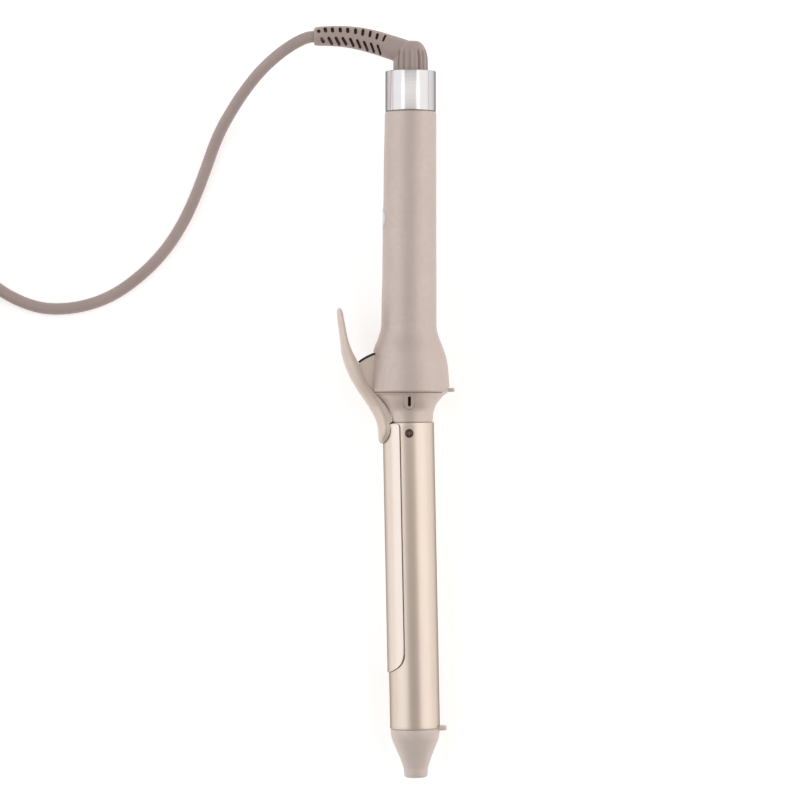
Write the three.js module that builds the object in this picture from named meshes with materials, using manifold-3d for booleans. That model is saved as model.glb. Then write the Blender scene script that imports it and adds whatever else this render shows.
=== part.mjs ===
// Curling iron with a sprung clip, a swivelling supply cord and a two-blade plug.
// Millimetres, +Z up. The iron lies on its side: it rests on the lip of its bell and on
// the end of its barrel. The handle points along +Y, the lever and clip face -X.
import * as THREE from "three";
import { mergeVertices } from "three/addons/utils/BufferGeometryUtils.js";
import Module from "manifold-3d";

const wasm = await Module();
wasm.setup();

// ---------------------------------------------------------------- driving dimensions
const GAP = 0.3; // clearance between neighbouring pieces
const FRAME_X = 13.43; // offset that brings the origin under the middle of the iron
const FRAME_Y = 6.293;
const BELL_R = 20.04; // widest radius of the bell, at its lip
const BARREL_R = 12.7; // one inch barrel
const BARREL_WALL = 0.9;
const BARREL_LENGTH = 155.8;
const BARREL_LEAN = 1.14; // degrees, barrel against handle, away from the lever
const BARREL_BASE = [-0.82, -16.52]; // where the barrel meets the collar
const TILT = 2.43; // degrees, tip down, so that bell lip and barrel end both touch the table
const HANDLE_WALL = 2.4;
const PIVOT = [-8.47, -9.18];
const PIN_R = 1.0;
const WEB_R = 28.5; // radius of the web's top edge about the pivot
const WEB_HALF = 5.6;
const LEVER_HALF = 6.9;
const CHANNEL_HALF = 7.25;
const CHANNEL_FLOOR = -5.2;
const CLIP_IN = 13.0;
const CLIP_OUT = 13.5;
const CLIP_HALF_ANGLE = 69;
const CLIP_LENGTH = 128.0;
const BUTTON_Y = 86.96;
const BUTTON_R = 4.2;
const BEZEL_R = 5.35;
const CORD_D = 6.0;
const SWIVEL_X = 0;
const COIL_CENTRE = [-262, 34];
const COIL_MEAN_R = 31.85;
const COIL_IN = 22.8;
const COIL_OUT = 41;
const COIL_LOW = 0.8;
const COIL_HIGH = 18.8;
const N = 32; // sides of the large round sections

// handle sections: height along the handle, centre x, radius
const HANDLE = [
  [141.2, 0.0, 13.11], [117.3, -0.26, 13.41], [76.5, -0.56, 13.72], [43.86, -0.82, 14.03], [33.66, -0.87, 14.08],
  [31.0, -0.92, 14.35], [27.54, -0.97, 15.27], [23.46, -1.0, 16.83], [20.4, -0.95, 17.95], [15.3, -0.4, 18.9],
  [10.2, -0.2, 19.43], [0.0, -0.2, BELL_R], [-1.02, -0.2, 19.84],
];
// stem of the elbow: radius, height
const STEM = [[8.9, 167.03], [8.59, 170.34], [7.78, 173.45], [6.81, 175.39], [5.43, 176.97], [3.9, 177.84]];
// strain relief: centre line and radius
const SLEEVE = [
  [-2.0, 172.0, 6.2], [-4.39, 172.89, 6.2], [-10.51, 174.93, 6.1], [-18.16, 177.22, 5.95], [-25.81, 179.01, 5.6],
  [-33.46, 180.03, 5.2], [-41.11, 180.39, 4.95], [-48.6, 180.3, 4.7], [-49.3, 180.3, 4.2],
];
// collar: radius, height, outside of the trumpet
const TRUMPET = [
  [19.6, -1.35], [18.5, -2.04], [17.2, -3.06], [15.4, -5.1], [13.97, -7.14], [12.95, -9.18], [12.3, -11.9], [11.98, -15.3], [11.95, -16.35],
];
// tip: distance from the collar end of the barrel, radius
const TIP = [
  [156.15, 12.4], [157.9, 12.47], [159.94, 12.24], [162.5, 11.45], [168.1, 9.18], [171.8, 7.65], [175.2, 6.6], [178.8, 6.12], [180.4, 5.6], [181.25, 4.6],
];
const LEVER_OUT = [
  [-37.64, 39.78], [-37.38, 35.7], [-36.87, 31.62], [-36.31, 27.54], [-35.8, 23.46], [-35.45, 19.38], [-34.42, 15.3],
  [-33.05, 11.22], [-31.26, 7.14], [-29.07, 3.06], [-26.47, -1.02], [-23.71, -5.1], [-21.06, -9.18], [-18.77, -13.26],
];
const LEVER_IN = [[-34.73, 39.78], [-33.91, 35.7], [-33.15, 31.62], [-32.33, 27.54], [-31.21, 23.46], [-29.58, 19.38], [-27.08, 14.79]];
// free cord from the strain relief to the coil, on the table after the first bends
const CORD_ROUTE = [
  [-50.1, 180.0, 27.67], [-53.0, 179.45, 27.65], [-57.2, 177.7, 27.3], [-62.2, 174.85, 26.3], [-67.0, 171.6, 24.9],
  [-71.5, 168.1, 22.7], [-76.1, 164.1, 20.0], [-80.8, 159.2, 16.9], [-87.0, 151.7, 12.1], [-92.2, 144.3, 8.2],
  [-97.2, 136.0, 5.1], [-101.3, 127.0, 3.5], [-105.6, 115.0, 3.0], [-110.5, 102.0, 3.0], [-117.0, 87.8, 3.0], [-126.2, 73.4, 3.0],
  [-139.0, 60.0, 3.0], [-155.0, 49.0, 3.0], [-172.5, 43.4, 3.0], [-190.0, 43.2, 3.0], [-206.5, 49.3, 3.2], [-220.6, 59.6, 3.5], [-232.6, 69.7, 3.8],
];
// free cord from the coil to the plug
const TAIL_ROUTE = [
  [-308.0, 26.0, 9.6], [-306.3, 14.0, 8.0], [-304.0, 2.0, 6.4], [-301.4, -10.0, 5.8], [-299.2, -21.0, 6.4], [-297.7, -30.0, 7.6], [-296.9, -37.0, 8.2],
];

// ---------------------------------------------------------------- helpers
const v3 = (x, y, z) => new THREE.Vector3(x, y, z);
const rad = (d) => (d * Math.PI) / 180;

function solid(geometry, matrix) {
  let g = geometry.clone();
  for (const name of Object.keys(g.attributes)) if (name !== "position") g.deleteAttribute(name);
  if (matrix) g.applyMatrix4(matrix);
  g = mergeVertices(g, 1e-4);
  const pos = g.attributes.position.array;
  const src = g.index.array;
  const tri = [];
  for (let i = 0; i < src.length; i += 3) {
    const [a, b, c] = [src[i], src[i + 1], src[i + 2]];
    if (a !== b && b !== c && a !== c) tri.push(a, b, c);
  }
  let volume = 0;
  const p = (i) => v3(pos[3 * i], pos[3 * i + 1], pos[3 * i + 2]);
  for (let i = 0; i < tri.length; i += 3) volume += p(tri[i]).dot(p(tri[i + 1]).cross(p(tri[i + 2])));
  if (volume < 0) for (let i = 0; i < tri.length; i += 3) [tri[i], tri[i + 1]] = [tri[i + 1], tri[i]];
  return new wasm.Manifold(new wasm.Mesh({ numProp: 3, vertProperties: new Float32Array(pos), triVerts: new Uint32Array(tri) }));
}

function geometryOf(m) {
  const mesh = m.getMesh();
  const g = new THREE.BufferGeometry();
  g.setAttribute("position", new THREE.BufferAttribute(new Float32Array(mesh.vertProperties), 3));
  g.setIndex(new THREE.BufferAttribute(new Uint32Array(mesh.triVerts), 1));
  g.computeVertexNormals();
  return g;
}

// closed skin over a row of sections with equal point counts; ends are fans
function loft(rings) {
  const n = rings[0].length;
  const pts = rings.flat();
  const idx = [];
  for (let r = 0; r + 1 < rings.length; r++)
    for (let i = 0; i < n; i++) {
      const a = r * n + i, b = r * n + ((i + 1) % n), c = a + n, d = b + n;
      idx.push(a, b, d, a, d, c);
    }
  for (const [r, flip] of [[0, true], [rings.length - 1, false]]) {
    const c = v3(0, 0, 0);
    rings[r].forEach((q) => c.add(q));
    c.divideScalar(n);
    const k = pts.push(c) - 1;
    for (let i = 0; i < n; i++) {
      const a = r * n + i, b = r * n + ((i + 1) % n);
      if (flip) idx.push(k, b, a);
      else idx.push(k, a, b);
    }
  }
  const g = new THREE.BufferGeometry();
  g.setAttribute("position", new THREE.Float32BufferAttribute(pts.flatMap((q) => [q.x, q.y, q.z]), 3));
  g.setIndex(idx);
  return g;
}

// round section across Y, with a corner exactly at the bottom
const circleY = (cx, y, r, n = N) =>
  Array.from({ length: n }, (_, i) => v3(cx + r * Math.cos((2 * Math.PI * i) / n), y, r * Math.sin((2 * Math.PI * i) / n)));
const bodyOfRings = (rows, n = N) => solid(loft(rows.map(([y, cx, r]) => circleY(cx, y, r, n))));

// turned piece: profile of [radius, height] along Y, around the line x = cx
function turned(profile, cx = 0, n = N, closedLoop = false) {
  const pts = profile.map(([r, y]) => new THREE.Vector2(r, y));
  if (closedLoop) pts.push(pts[0].clone());
  return solid(new THREE.LatheGeometry(pts, n), new THREE.Matrix4().makeTranslation(cx, 0, 0));
}
const box = (x0, x1, y0, y1, z0, z1) =>
  solid(new THREE.BoxGeometry(x1 - x0, y1 - y0, z1 - z0), new THREE.Matrix4().makeTranslation((x0 + x1) / 2, (y0 + y1) / 2, (z0 + z1) / 2));
// cylinder from point a to point b
function rod(a, b, r, n = 16, r2 = r) {
  const from = v3(...a), to = v3(...b);
  const dir = to.clone().sub(from);
  const m = new THREE.Matrix4().compose(
    from.clone().add(to).multiplyScalar(0.5),
    new THREE.Quaternion().setFromUnitVectors(v3(0, 1, 0), dir.clone().normalize()),
    v3(1, 1, 1)
  );
  return solid(new THREE.CylinderGeometry(r2, r, dir.length(), n), m);
}
// flat outline in X, Y, given a thickness along Z about the middle plane
function plate(outline, z0, z1) {
  const shape = new THREE.Shape(outline.map(([x, y]) => new THREE.Vector2(x, y)));
  return solid(new THREE.ExtrudeGeometry(shape, { depth: z1 - z0, bevelEnabled: false }), new THREE.Matrix4().makeTranslation(0, 0, z0));
}
function wire(points, r, sides = 8, steps = points.length * 2) {
  const shape = new THREE.Shape(Array.from({ length: sides }, (_, i) => new THREE.Vector2(r * Math.cos((2 * Math.PI * i) / sides), r * Math.sin((2 * Math.PI * i) / sides))));
  const path = new THREE.CatmullRomCurve3(points.map((q) => v3(...q)), false, "centripetal");
  return solid(new THREE.ExtrudeGeometry(shape, { steps, bevelEnabled: false, extrudePath: path }));
}
// curved sheet round the line x = 0, z = 0, open towards +X: rows of [y, half angle in degrees]
function curvedSheet(rows, r0, r1, m = 14) {
  const rings = rows.map(([y, half]) => {
    const out = [];
    for (let i = 0; i <= m; i++) { const a = Math.PI + rad(-half + (2 * half * i) / m); out.push(v3(r1 * Math.cos(a), y, r1 * Math.sin(a))); }
    for (let i = m; i >= 0; i--) { const a = Math.PI + rad(-half + (2 * half * i) / m); out.push(v3(r0 * Math.cos(a), y, r0 * Math.sin(a))); }
    return out;
  });
  const n = rings[0].length, idx = [], pts = rings.flat();
  for (let r = 0; r + 1 < rings.length; r++)
    for (let i = 0; i < n; i++) { const a = r * n + i, b = r * n + ((i + 1) % n); idx.push(a, b, b + n, a, b + n, a + n); }
  for (const [r, flip] of [[0, true], [rings.length - 1, false]])
    for (let i = 0; i < m; i++) {
      const a = r * n + i, b = a + 1, c = r * n + (n - 1 - i), d = c - 1;
      if (flip) idx.push(a, c, b, b, c, d);
      else idx.push(a, b, c, b, d, c);
    }
  const g = new THREE.BufferGeometry();
  g.setAttribute("position", new THREE.Float32BufferAttribute(pts.flatMap((q) => [q.x, q.y, q.z]), 3));
  g.setIndex(idx);
  return solid(g);
}

const FINISH = {
  handle: [0xb4a59b, 0.55, 0], trim: [0xd8cbc1, 0.45, 0], dark: [0xa0918a, 0.6, 0], chrome: [0xe0dad8, 0.12, 1],
  barrel: [0xe8d9cb, 0.3, 0.8], black: [0x2a2624, 0.5, 0], steel: [0x8f8d8a, 0.35, 1], brass: [0xc9a35a, 0.35, 1],
  board: [0x2f6b3d, 0.6, 0], alu: [0xbfc2c4, 0.4, 1], ceramic: [0xe9e4da, 0.7, 0], white: [0xf2efec, 0.25, 0], wire: [0x9a2f2a, 0.5, 0], wireblue: [0x34507a, 0.5, 0],
};
function mesh(name, m, finish) {
  const [color, roughness, metalness] = FINISH[finish];
  const out = new THREE.Mesh(geometryOf(m), new THREE.MeshStandardMaterial({ color, roughness, metalness }));
  out.name = name;
  return out;
}

// ---------------------------------------------------------------- groups
const model = new THREE.Group();
const iron = new THREE.Group(); // tilted so that the tip rests on the table
iron.rotation.x = rad(TILT);
iron.position.set(0, 0, BELL_R * Math.cos(rad(TILT)));
const barrel = new THREE.Group(); // leaned barrel, its axis along its own -Y
barrel.position.set(BARREL_BASE[0], BARREL_BASE[1], 0);
barrel.rotation.z = rad(BARREL_LEAN);
iron.add(barrel);
const cordSet = new THREE.Group(); // swivels against the iron, about the handle's axis
cordSet.rotation.x = rad(TILT);
cordSet.position.copy(iron.position);
model.add(iron, cordSet);
const toBarrel = new THREE.Matrix4().compose(v3(BARREL_BASE[0], BARREL_BASE[1], 0), new THREE.Quaternion().setFromAxisAngle(v3(0, 0, 1), rad(BARREL_LEAN)), v3(1, 1, 1));
const intoIron = (m) => solid(geometryOf(m), toBarrel);

// ---------------------------------------------------------------- handle
const HX = (y) => { // centre of the handle at a height
  for (let i = 0; i + 1 < HANDLE.length; i++) if (y <= HANDLE[i][0] && y >= HANDLE[i + 1][0]) { const t = (HANDLE[i][0] - y) / (HANDLE[i][0] - HANDLE[i + 1][0]); return HANDLE[i][1] + t * (HANDLE[i + 1][1] - HANDLE[i][1]); }
  return 0;
};
const spigot = [[161.4, 0, 11.7], [141.71, 0, 11.7], [141.7, 0, 12.85]];
let handle = bodyOfRings([...spigot, ...HANDLE]);
handle = handle.subtract(bodyOfRings([[163, 0, 10.1], [141, 0, 10.1], [136, -0.05, 13.15 - HANDLE_WALL], ...[1, 3, 4, 6, 8, 10, 11].map((i) => [HANDLE[i][0], HANDLE[i][1], HANDLE[i][2] - HANDLE_WALL]), [-2, -0.2, BELL_R - HANDLE_WALL]]));
// slot in the front of the bell for the lever's web, notch at the rear for the rest tab
const slotArc = [];
for (let a = 60; a >= -6; a -= 3) slotArc.push([PIVOT[0] - 30.3 * Math.sin(rad(a)), PIVOT[1] + 30.3 * Math.cos(rad(a))]);
handle = handle.subtract(plate([...slotArc, [-6, -3], [-34, -3]], -WEB_HALF - 0.7, WEB_HALF + 0.7));
handle = handle.subtract(box(12, 26, -3, 1.5, -4.35, 4.35));
// hole for the button bezel
handle = handle.subtract(rod([-20, BUTTON_Y, 0], [-8, BUTTON_Y, 0], BEZEL_R + 0.1, 28));
const BOSS = [[6.2, 52], [6.2, 108]];
const bossParts = BOSS.map(([x, y]) => {
  const zi = Math.sqrt((13.6 - HANDLE_WALL + 0.6) ** 2 - (x + 0.5) ** 2);
  return rod([x, y, -zi], [x, y, zi], 2.6, 16);
});
for (const b of bossParts) handle = handle.add(b);
for (const [x, y] of BOSS) {
  handle = handle.subtract(rod([x, y, -14], [x, y, 6.5], 1.4, 12));
  handle = handle.subtract(rod([x, y, -16], [x, y, -8.2], 2.6 - 0.55, 14));
}
iron.add(mesh("handle_shell_upper", handle.intersect(box(-40, 40, -10, 170, GAP / 2, 40)), "handle"));
iron.add(mesh("handle_shell_lower", handle.intersect(box(-40, 40, -10, 170, -40, -GAP / 2)), "handle"));
BOSS.forEach(([x, y], i) => {
  const s = rod([x, y, -7.9], [x, y, 6.0], 1.1, 10).add(rod([x, y, -9.3], [x, y, -7.85], 1.75, 12));
  iron.add(mesh(i ? "handle_screw_top" : "handle_screw_bottom", solid(geometryOf(s), new THREE.Matrix4().makeTranslation(0, 0, -0.55)), "steel"));
});
iron.add(mesh("end_band", turned([[12.0, 142.0], [12.6, 142.0], [12.85, 142.25], [12.85, 162.0], [12.45, 162.4], [12.0, 162.4]], 0, 32, true), "chrome"));
iron.add(mesh("end_cap", turned([[9.25, 159.8], [9.8, 159.8], [9.8, 161.7], [11.7, 161.7], [11.7, 162.3], [9.25, 162.3]], 0, 24, true), "dark"));
let housing = turned([[3.6, 131.8], [9.7, 131.8], [9.7, 157.6], [6.6, 157.6], [6.6, 134.0], [3.6, 134.0]], 0, 24, true);
housing = housing.subtract(box(-2.2, 2.2, 147.3, 151.7, 5, 12)).subtract(box(-2.2, 2.2, 138.3, 142.7, -12, -5));
housing = housing.subtract(box(-6.2, 1.8, 130, 147.35, 6.8, 12)).subtract(box(-4.4, 0.4, 130, 138.4, -12, -7.1)); // wire channels
iron.add(mesh("swivel_housing", housing, "white"));
iron.add(mesh("brush_live", box(-1.8, 1.8, 147.7, 151.3, 5.15, 9.3), "brass"));
iron.add(mesh("brush_neutral", box(-1.8, 1.8, 138.7, 142.3, -9.3, -5.15), "brass"));

// ---------------------------------------------------------------- button, board and wiring
const bx = HX(BUTTON_Y);
const frontX = bx - 13.6; // outer face of the handle at the button
const alongX = (profile, y, n) => solid(new THREE.LatheGeometry(profile.map(([r, x]) => new THREE.Vector2(r, x)), n), new THREE.Matrix4().makeTranslation(0, y, 0).multiply(new THREE.Matrix4().makeRotationZ(Math.PI / 2)));
// profiles are [radius, distance towards -X]
iron.add(mesh("button_bezel", alongX([[4.55, 11.4], [5.35, 11.4], [5.35, 14.15], [5.2, 14.4], [4.55, 14.4], [4.55, 11.4]].map(([r, x]) => [r, x]), BUTTON_Y, 28), "dark"));
const buttonShape = alongX([[0, 10.6], [3.9, 10.6], [BUTTON_R, 10.9], [BUTTON_R, 13.3], [3.7, 13.7], [2.4, 13.95], [0, 14.05]], BUTTON_Y, 28).add(rod([-10.7, BUTTON_Y, 0], [-5.7, BUTTON_Y, 0], 1.3, 10));
const button = new THREE.Group();
iron.add(button);
button.add(mesh("power_button", buttonShape, "white"));
iron.add(mesh("control_board", box(0.6, 2.2, 38, 102, -8.4, 8.4), "board"));
iron.add(mesh("tact_switch", box(-2.9, 0.3, BUTTON_Y - 3, BUTTON_Y + 3, -3, 3).add(rod([-2.9, BUTTON_Y, 0], [-4.7, BUTTON_Y, 0], 1.6, 12)), "black"));
iron.add(mesh("triac", box(2.5, 6.9, 62, 77, -5, 5), "black"));
iron.add(mesh("lead_live", wire([[0.6, 146.4, 8.6], [-3.2, 143, 8.2], [-4.4, 136, 8.0], [-4.0, 128, 7.0], [-1, 112, 6], [1.4, 102.4, 5]], 0.55, 5, 9), "wire"));
iron.add(mesh("lead_neutral", wire([[-0.8, 138.3, -8.4], [-2.6, 134, -8.3], [-3.0, 128, -7.6], [-1, 112, -6.4], [1.4, 102.4, -5]], 0.55, 5, 9), "wireblue"));

// ---------------------------------------------------------------- collar, barrel and tip
const COLLAR_X = -0.66;
let collar = turned([[3.8, 8], [5.6, 8], [5.6, -1.0], [15.2, -1.0], [15.2, 5], [16.9, 5], [16.9, -1.35], ...TRUMPET, [11.3, -16.35], [11.3, -27], [9.3, -27], [9.3, -14.6], [3.8, -14.6]].map(([r, y]) => [r, y]), COLLAR_X, N, true);
collar = collar.add(box(14.0, 22.44, -0.97, 1.07, -4, 4).subtract(box(13, 15.0, -2, 2, -5, 5)));
collar = collar.subtract(box(-40, CHANNEL_FLOOR, -15.15, 12, -CHANNEL_HALF, CHANNEL_HALF));
collar = collar.subtract(rod([PIVOT[0], PIVOT[1], -14], [PIVOT[0], PIVOT[1], 9.6], PIN_R + 0.15, 16));
// raised side boss with a slot, towards +Z
collar = collar.add(plate([[-3.2, -3.4], [-3.2, -8.6], [-2.6, -9.9], [-1.4, -10.5], [0.2, -10.5], [1.2, -9.9], [1.75, -8.6], [1.75, -3.4]], 10, 13.6));
collar = collar.subtract(box(-1.45, 0.15, -8.4, -3.3, 12.2, 22));
// holes for the barrel screws
const screwIron = [BARREL_BASE[0] + 5.46 * Math.sin(rad(BARREL_LEAN)), BARREL_BASE[1] - 5.46 * Math.cos(rad(BARREL_LEAN))];
collar = collar.subtract(rod([screwIron[0], screwIron[1], -14], [screwIron[0], screwIron[1], 14], 1.5, 14));
iron.add(mesh("collar", collar, "trim"));
iron.add(mesh("pivot_pin", rod([PIVOT[0], PIVOT[1], -9.3], [PIVOT[0], PIVOT[1], 9.3], PIN_R, 16), "steel"));

const B = -BARREL_LENGTH;
let tube = turned([[BARREL_R - BARREL_WALL, -0.15], [BARREL_R, -0.15], [BARREL_R, B + 0.05], [BARREL_R - BARREL_WALL, B + 0.05]], 0, N, true);
tube = tube.subtract(rod([0, -5.46, -14], [0, -5.46, 14], 1.5, 14)).subtract(box(8, 16, B - 2, -154.5, -4.3, 4.3));
barrel.add(mesh("barrel_tube", tube, "barrel"));
for (const [name, s] of [["barrel_screw_near", 1], ["barrel_screw_far", -1]])
  barrel.add(mesh(name, rod([0, -5.46, s * 9.6], [0, -5.46, s * 13.1], 1.15, 12).add(rod([0, -5.46, s * 13.0], [0, -5.46, s * 13.45], 2.2, 16)).add(rod([0, -5.46, s * 13.4], [0, -5.46, s * 13.8], 2.2, 16, s > 0 ? 1.7 : 1.7)), "black"));
let tip = turned([[9.4, -148.5], [11.4, -148.5], [11.4, -156.15], ...TIP.map(([t, r]) => [r, -t]), [0, -181.25], [0, -178.6], [3.2, -178.6], [5.0, -172], [8.0, -164], [9.4, -158]], 0, N, true);
tip = tip.add(box(10.2, 16.1, -157.1, -154.9, -4, 4).subtract(box(10, 10.9, -158, -150, -5, 5)));
barrel.add(mesh("barrel_tip", tip, "dark"));

const halfRound = (s) => rod([0, -30, 0], [0, -126, 0], 11.3, 28).intersect(box(-12, 12, -130, -20, s > 0 ? 1.9 : -12, s > 0 ? 12 : -1.9));
barrel.add(mesh("heater_block_upper", halfRound(1), "alu"));
barrel.add(mesh("heater_block_lower", halfRound(-1), "alu"));
barrel.add(mesh("heating_element", box(-6, 6, -118, -40, -0.1, 1.6), "ceramic"));
const bow = plate([[-4, -0.75], [0, -1.25], [4, -0.75], [4, -1.1], [0, -1.6], [-4, -1.1]], 0, 60);
barrel.add(mesh("heater_spring", solid(geometryOf(bow), new THREE.Matrix4().makeTranslation(0, -50, 0).multiply(new THREE.Matrix4().makeRotationX(Math.PI / 2))), "steel"));
barrel.add(mesh("temperature_sensor", rod([8.4, -76, 0], [8.4, -81, 0], 1.1, 10), "ceramic"));
barrel.add(mesh("thermal_fuse", rod([-8.6, -60, 0], [-8.6, -70, 0], 1.3, 10), "white"));
iron.add(mesh("heater_lead_live", wire([[1.4, 37.6, 5.5], [0.6, 26, 4.6], [-0.7, 10, 2.1], [-0.7, -15, 2.1], [-0.2, -30, 2.4], [0.6, -44, 2.6], [0.1, -46, 2.6]].slice(0, 5).concat([[-0.1, -45.6, 1.0], [-0.1, -56.1, 0.75]]), 0.6, 5, 10), "wire"));
iron.add(mesh("heater_lead_neutral", wire([[1.4, 37.6, -5.5], [0.6, 26, -4.6], [-0.7, 10, -2.1], [-0.7, -15, -2.1], [-2.4, -30, -2.0], [-3.0, -46, 0.6], [-3.2, -56.1, 0.75]], 0.6, 5, 10), "wireblue"));
iron.add(mesh("sensor_lead", wire([[1.4, 37.6, 0], [1.5, 26, 0], [1.6, 10, 0], [1.6, -15, 0], [6.5, -34, 0], [8.9, -60, 0], [9.1, -92, 0]], 0.55, 5, 10), "white"));

// ---------------------------------------------------------------- lever and clip
const lever = new THREE.Group();
lever.position.set(PIVOT[0], PIVOT[1], 0);
iron.add(lever);
const fromPivot = new THREE.Matrix4().makeTranslation(-PIVOT[0], -PIVOT[1], 0);
const polar = (r, deg) => [PIVOT[0] - r * Math.sin(rad(deg)), PIVOT[1] + r * Math.cos(rad(deg))];
const tipRound = [[-37.5, 40.9], [-36.8, 41.7], [-36.1, 41.9], [-35.3, 41.5], [-34.85, 40.8]];
const pad = plate([...tipRound, ...LEVER_IN, [-26.2, 10.5], [-25.3, 6.5], [-24.1, 2.2], [-23.0, -1.6], [-21.0, -4.6], [-14, -5.0], [-10.5, -7.2], [-12.5, -14.0], [-14.9, -15.0], [-17.6, -15.6], ...[...LEVER_OUT].reverse()], -LEVER_HALF, LEVER_HALF);
const arc = [];
for (let a = 38.2; a >= 15.9; a -= 2.48) arc.push(polar(WEB_R, a));
const web = plate([[-27.9, 15.0], ...arc, polar(3.2, 16), [-9.5, -9.5], [-17, -6], [-24, 3], [-29, 10]], -WEB_HALF, WEB_HALF);
const hub = rod([PIVOT[0], PIVOT[1], -LEVER_HALF], [PIVOT[0], PIVOT[1], LEVER_HALF], 3.0, 24);
let leverBody = pad.add(web).add(hub);
// the parts of the lever inside the collar's channel stay clear of its floor and lower rim
leverBody = leverBody.subtract(rod([PIVOT[0], PIVOT[1], -9], [PIVOT[0], PIVOT[1], 9], PIN_R + 0.15, 16));
leverBody = leverBody.subtract(plate([[-4, -3.4], [-11.4, -3.4], [-12.6, -8], [-12.0, -13.2], [-8, -15.5], [-4, -15.5]], -3.4, 3.4));
// tongue: a curved pad over the root of the clip
const tongueOutline = [[2.3, 7.1], [0.2, 7.4], [-1.8, 8.8], [-3.4, 9.8], [-6.0, 9.5], [-8.4, 7.9], [-10.0, 5.0], [-10.7, 1.6]];
const outline = [...tongueOutline.map(([y, z]) => [y, z]), ...[...tongueOutline].reverse().map(([y, z]) => [y, -z])];
const tonguePrism = solid(new THREE.ExtrudeGeometry(new THREE.Shape(outline.map(([y, z]) => new THREE.Vector2(z, y))), { depth: 14, bevelEnabled: false }), new THREE.Matrix4().makeTranslation(-20, 0, 0).multiply(new THREE.Matrix4().makeRotationY(Math.PI / 2)));
const shellOut = turned([[0, 4], [16.6, 4], [16.2, -1], [15.9, -5], [15.8, -9.5], [15.0, -11.5], [0, -11.5]], 0, N);
const shellIn = turned([[0, 6], [CLIP_OUT + GAP, 6], [CLIP_OUT + GAP, -14], [0, -14]], 0, N);
const tongue = intoIron(tonguePrism.intersect(shellOut).subtract(shellIn));
const keepOff = intoIron(turned([[0, 6], [CLIP_OUT + GAP, 6], [CLIP_OUT + GAP, -14], [0, -14]], 0, N).intersect(box(-20, 20, -14, 1.4, -20, 20)));
leverBody = leverBody.subtract(keepOff).add(tongue);
const screwAt = [-4.2, -8.0];
for (const t of screwAt) leverBody = leverBody.subtract(intoIron(rod([-15.2, t, 0], [-12, t, 0], 1.25, 12)));
lever.add(mesh("thumb_lever", solid(geometryOf(leverBody), fromPivot), "trim"));
const stripPts = [];
for (let i = 0; i <= 9; i++) stripPts.push(polar(29.95, 37.6 - (21.6 * i) / 9));
for (let i = 9; i >= 0; i--) stripPts.push(polar(28.8, 37.6 - (21.6 * i) / 9));
lever.add(mesh("lever_edge_strip", solid(geometryOf(plate(stripPts, -WEB_HALF, WEB_HALF)), fromPivot), "black"));
const clipRows = [[-0.9, 62], [-1.5, 66.5], [-3.0, CLIP_HALF_ANGLE], [-40, CLIP_HALF_ANGLE], [-80, CLIP_HALF_ANGLE], [-118.5, CLIP_HALF_ANGLE], [-120.6, 67.4], [-122.6, 63.5], [-124.4, 56.5], [-125.9, 46.5], [-127.1, 33], [-127.8, 18], [-CLIP_LENGTH, 8]];
let clip = curvedSheet(clipRows, CLIP_IN, CLIP_OUT, 12);
for (const t of screwAt) clip = clip.subtract(rod([-15, t, 0], [-12, t, 0], 1.25, 12));
lever.add(mesh("clip_plate", solid(geometryOf(intoIron(clip)), fromPivot), "barrel"));
screwAt.forEach((t, i) => lever.add(mesh(i ? "clip_screw_lower" : "clip_screw_upper", solid(geometryOf(intoIron(rod([-14.9, t, 0], [-13.0, t, 0], 0.95, 10))), fromPivot), "steel")));
// torsion spring round the pin
const coilPts = [];
coilPts.push([-11.6, -7.2, -2.2]);
for (let i = 0; i <= 36; i++) { const a = Math.PI / 2 - (i / 8) * 2 * Math.PI; coilPts.push([PIVOT[0] + 2.2 * Math.cos(a), PIVOT[1] + 2.2 * Math.sin(a), -2.2 + (4.4 * i) / 36]); }
coilPts.push([-6.0, -13.6, 2.2]);
iron.add(mesh("torsion_spring", wire(coilPts, 0.35, 5, 46), "steel"));

// ---------------------------------------------------------------- cord set
let elbow = turned([[0, 160.75], [8.9, 160.75], ...STEM, [0, 178.04]], SWIVEL_X, 24);
const sleeveRings = SLEEVE.map(([x, y, r], i) => {
  const a = SLEEVE[Math.max(0, i - 1)], b = SLEEVE[Math.min(SLEEVE.length - 1, i + 1)];
  const d = v3(b[0] - a[0], b[1] - a[1], 0).normalize();
  const side = v3(-d.y, d.x, 0);
  return Array.from({ length: 16 }, (_, k) => v3(x, y, 0).addScaledVector(side, r * Math.cos((2 * Math.PI * k) / 16)).add(v3(0, 0, r * Math.sin((2 * Math.PI * k) / 16))));
});
elbow = elbow.add(solid(loft(sleeveRings)));
// slots of the strain relief, staggered on its two sides
const slotsUp = [[-46.8, 182.5], [-43.5, 182.8], [-39.7, 182.8], [-35.75, 182.8], [-31.9, 182.8], [-28.1, 182.4], [-24.3, 181.9], [-20.45, 181.05], [-17.0, 180.1]];
for (const [x, y] of slotsUp) elbow = elbow.subtract(box(x - 0.65, x + 0.65, y - 1.3, y + 1.3, -12, 12));
elbow = elbow.subtract(rod([0, 158, 0], [0, 172, 0], 3.5, 16));
cordSet.add(mesh("swivel_elbow", elbow, "dark"));
let spindle = turned([[0, 128.6], [5.0, 128.6], [5.0, 131.3], [3.2, 131.3], [3.2, 171.6], [0, 171.6]], 0, 16);
cordSet.add(mesh("swivel_spindle", spindle, "steel"));
for (const [name, y] of [["slip_ring_live", 149.5], ["slip_ring_neutral", 140.5]])
  cordSet.add(mesh(name, turned([[3.5, y - 2], [4.85, y - 2], [4.85, y + 2], [3.5, y + 2]], 0, 20, true), "brass"));

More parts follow.
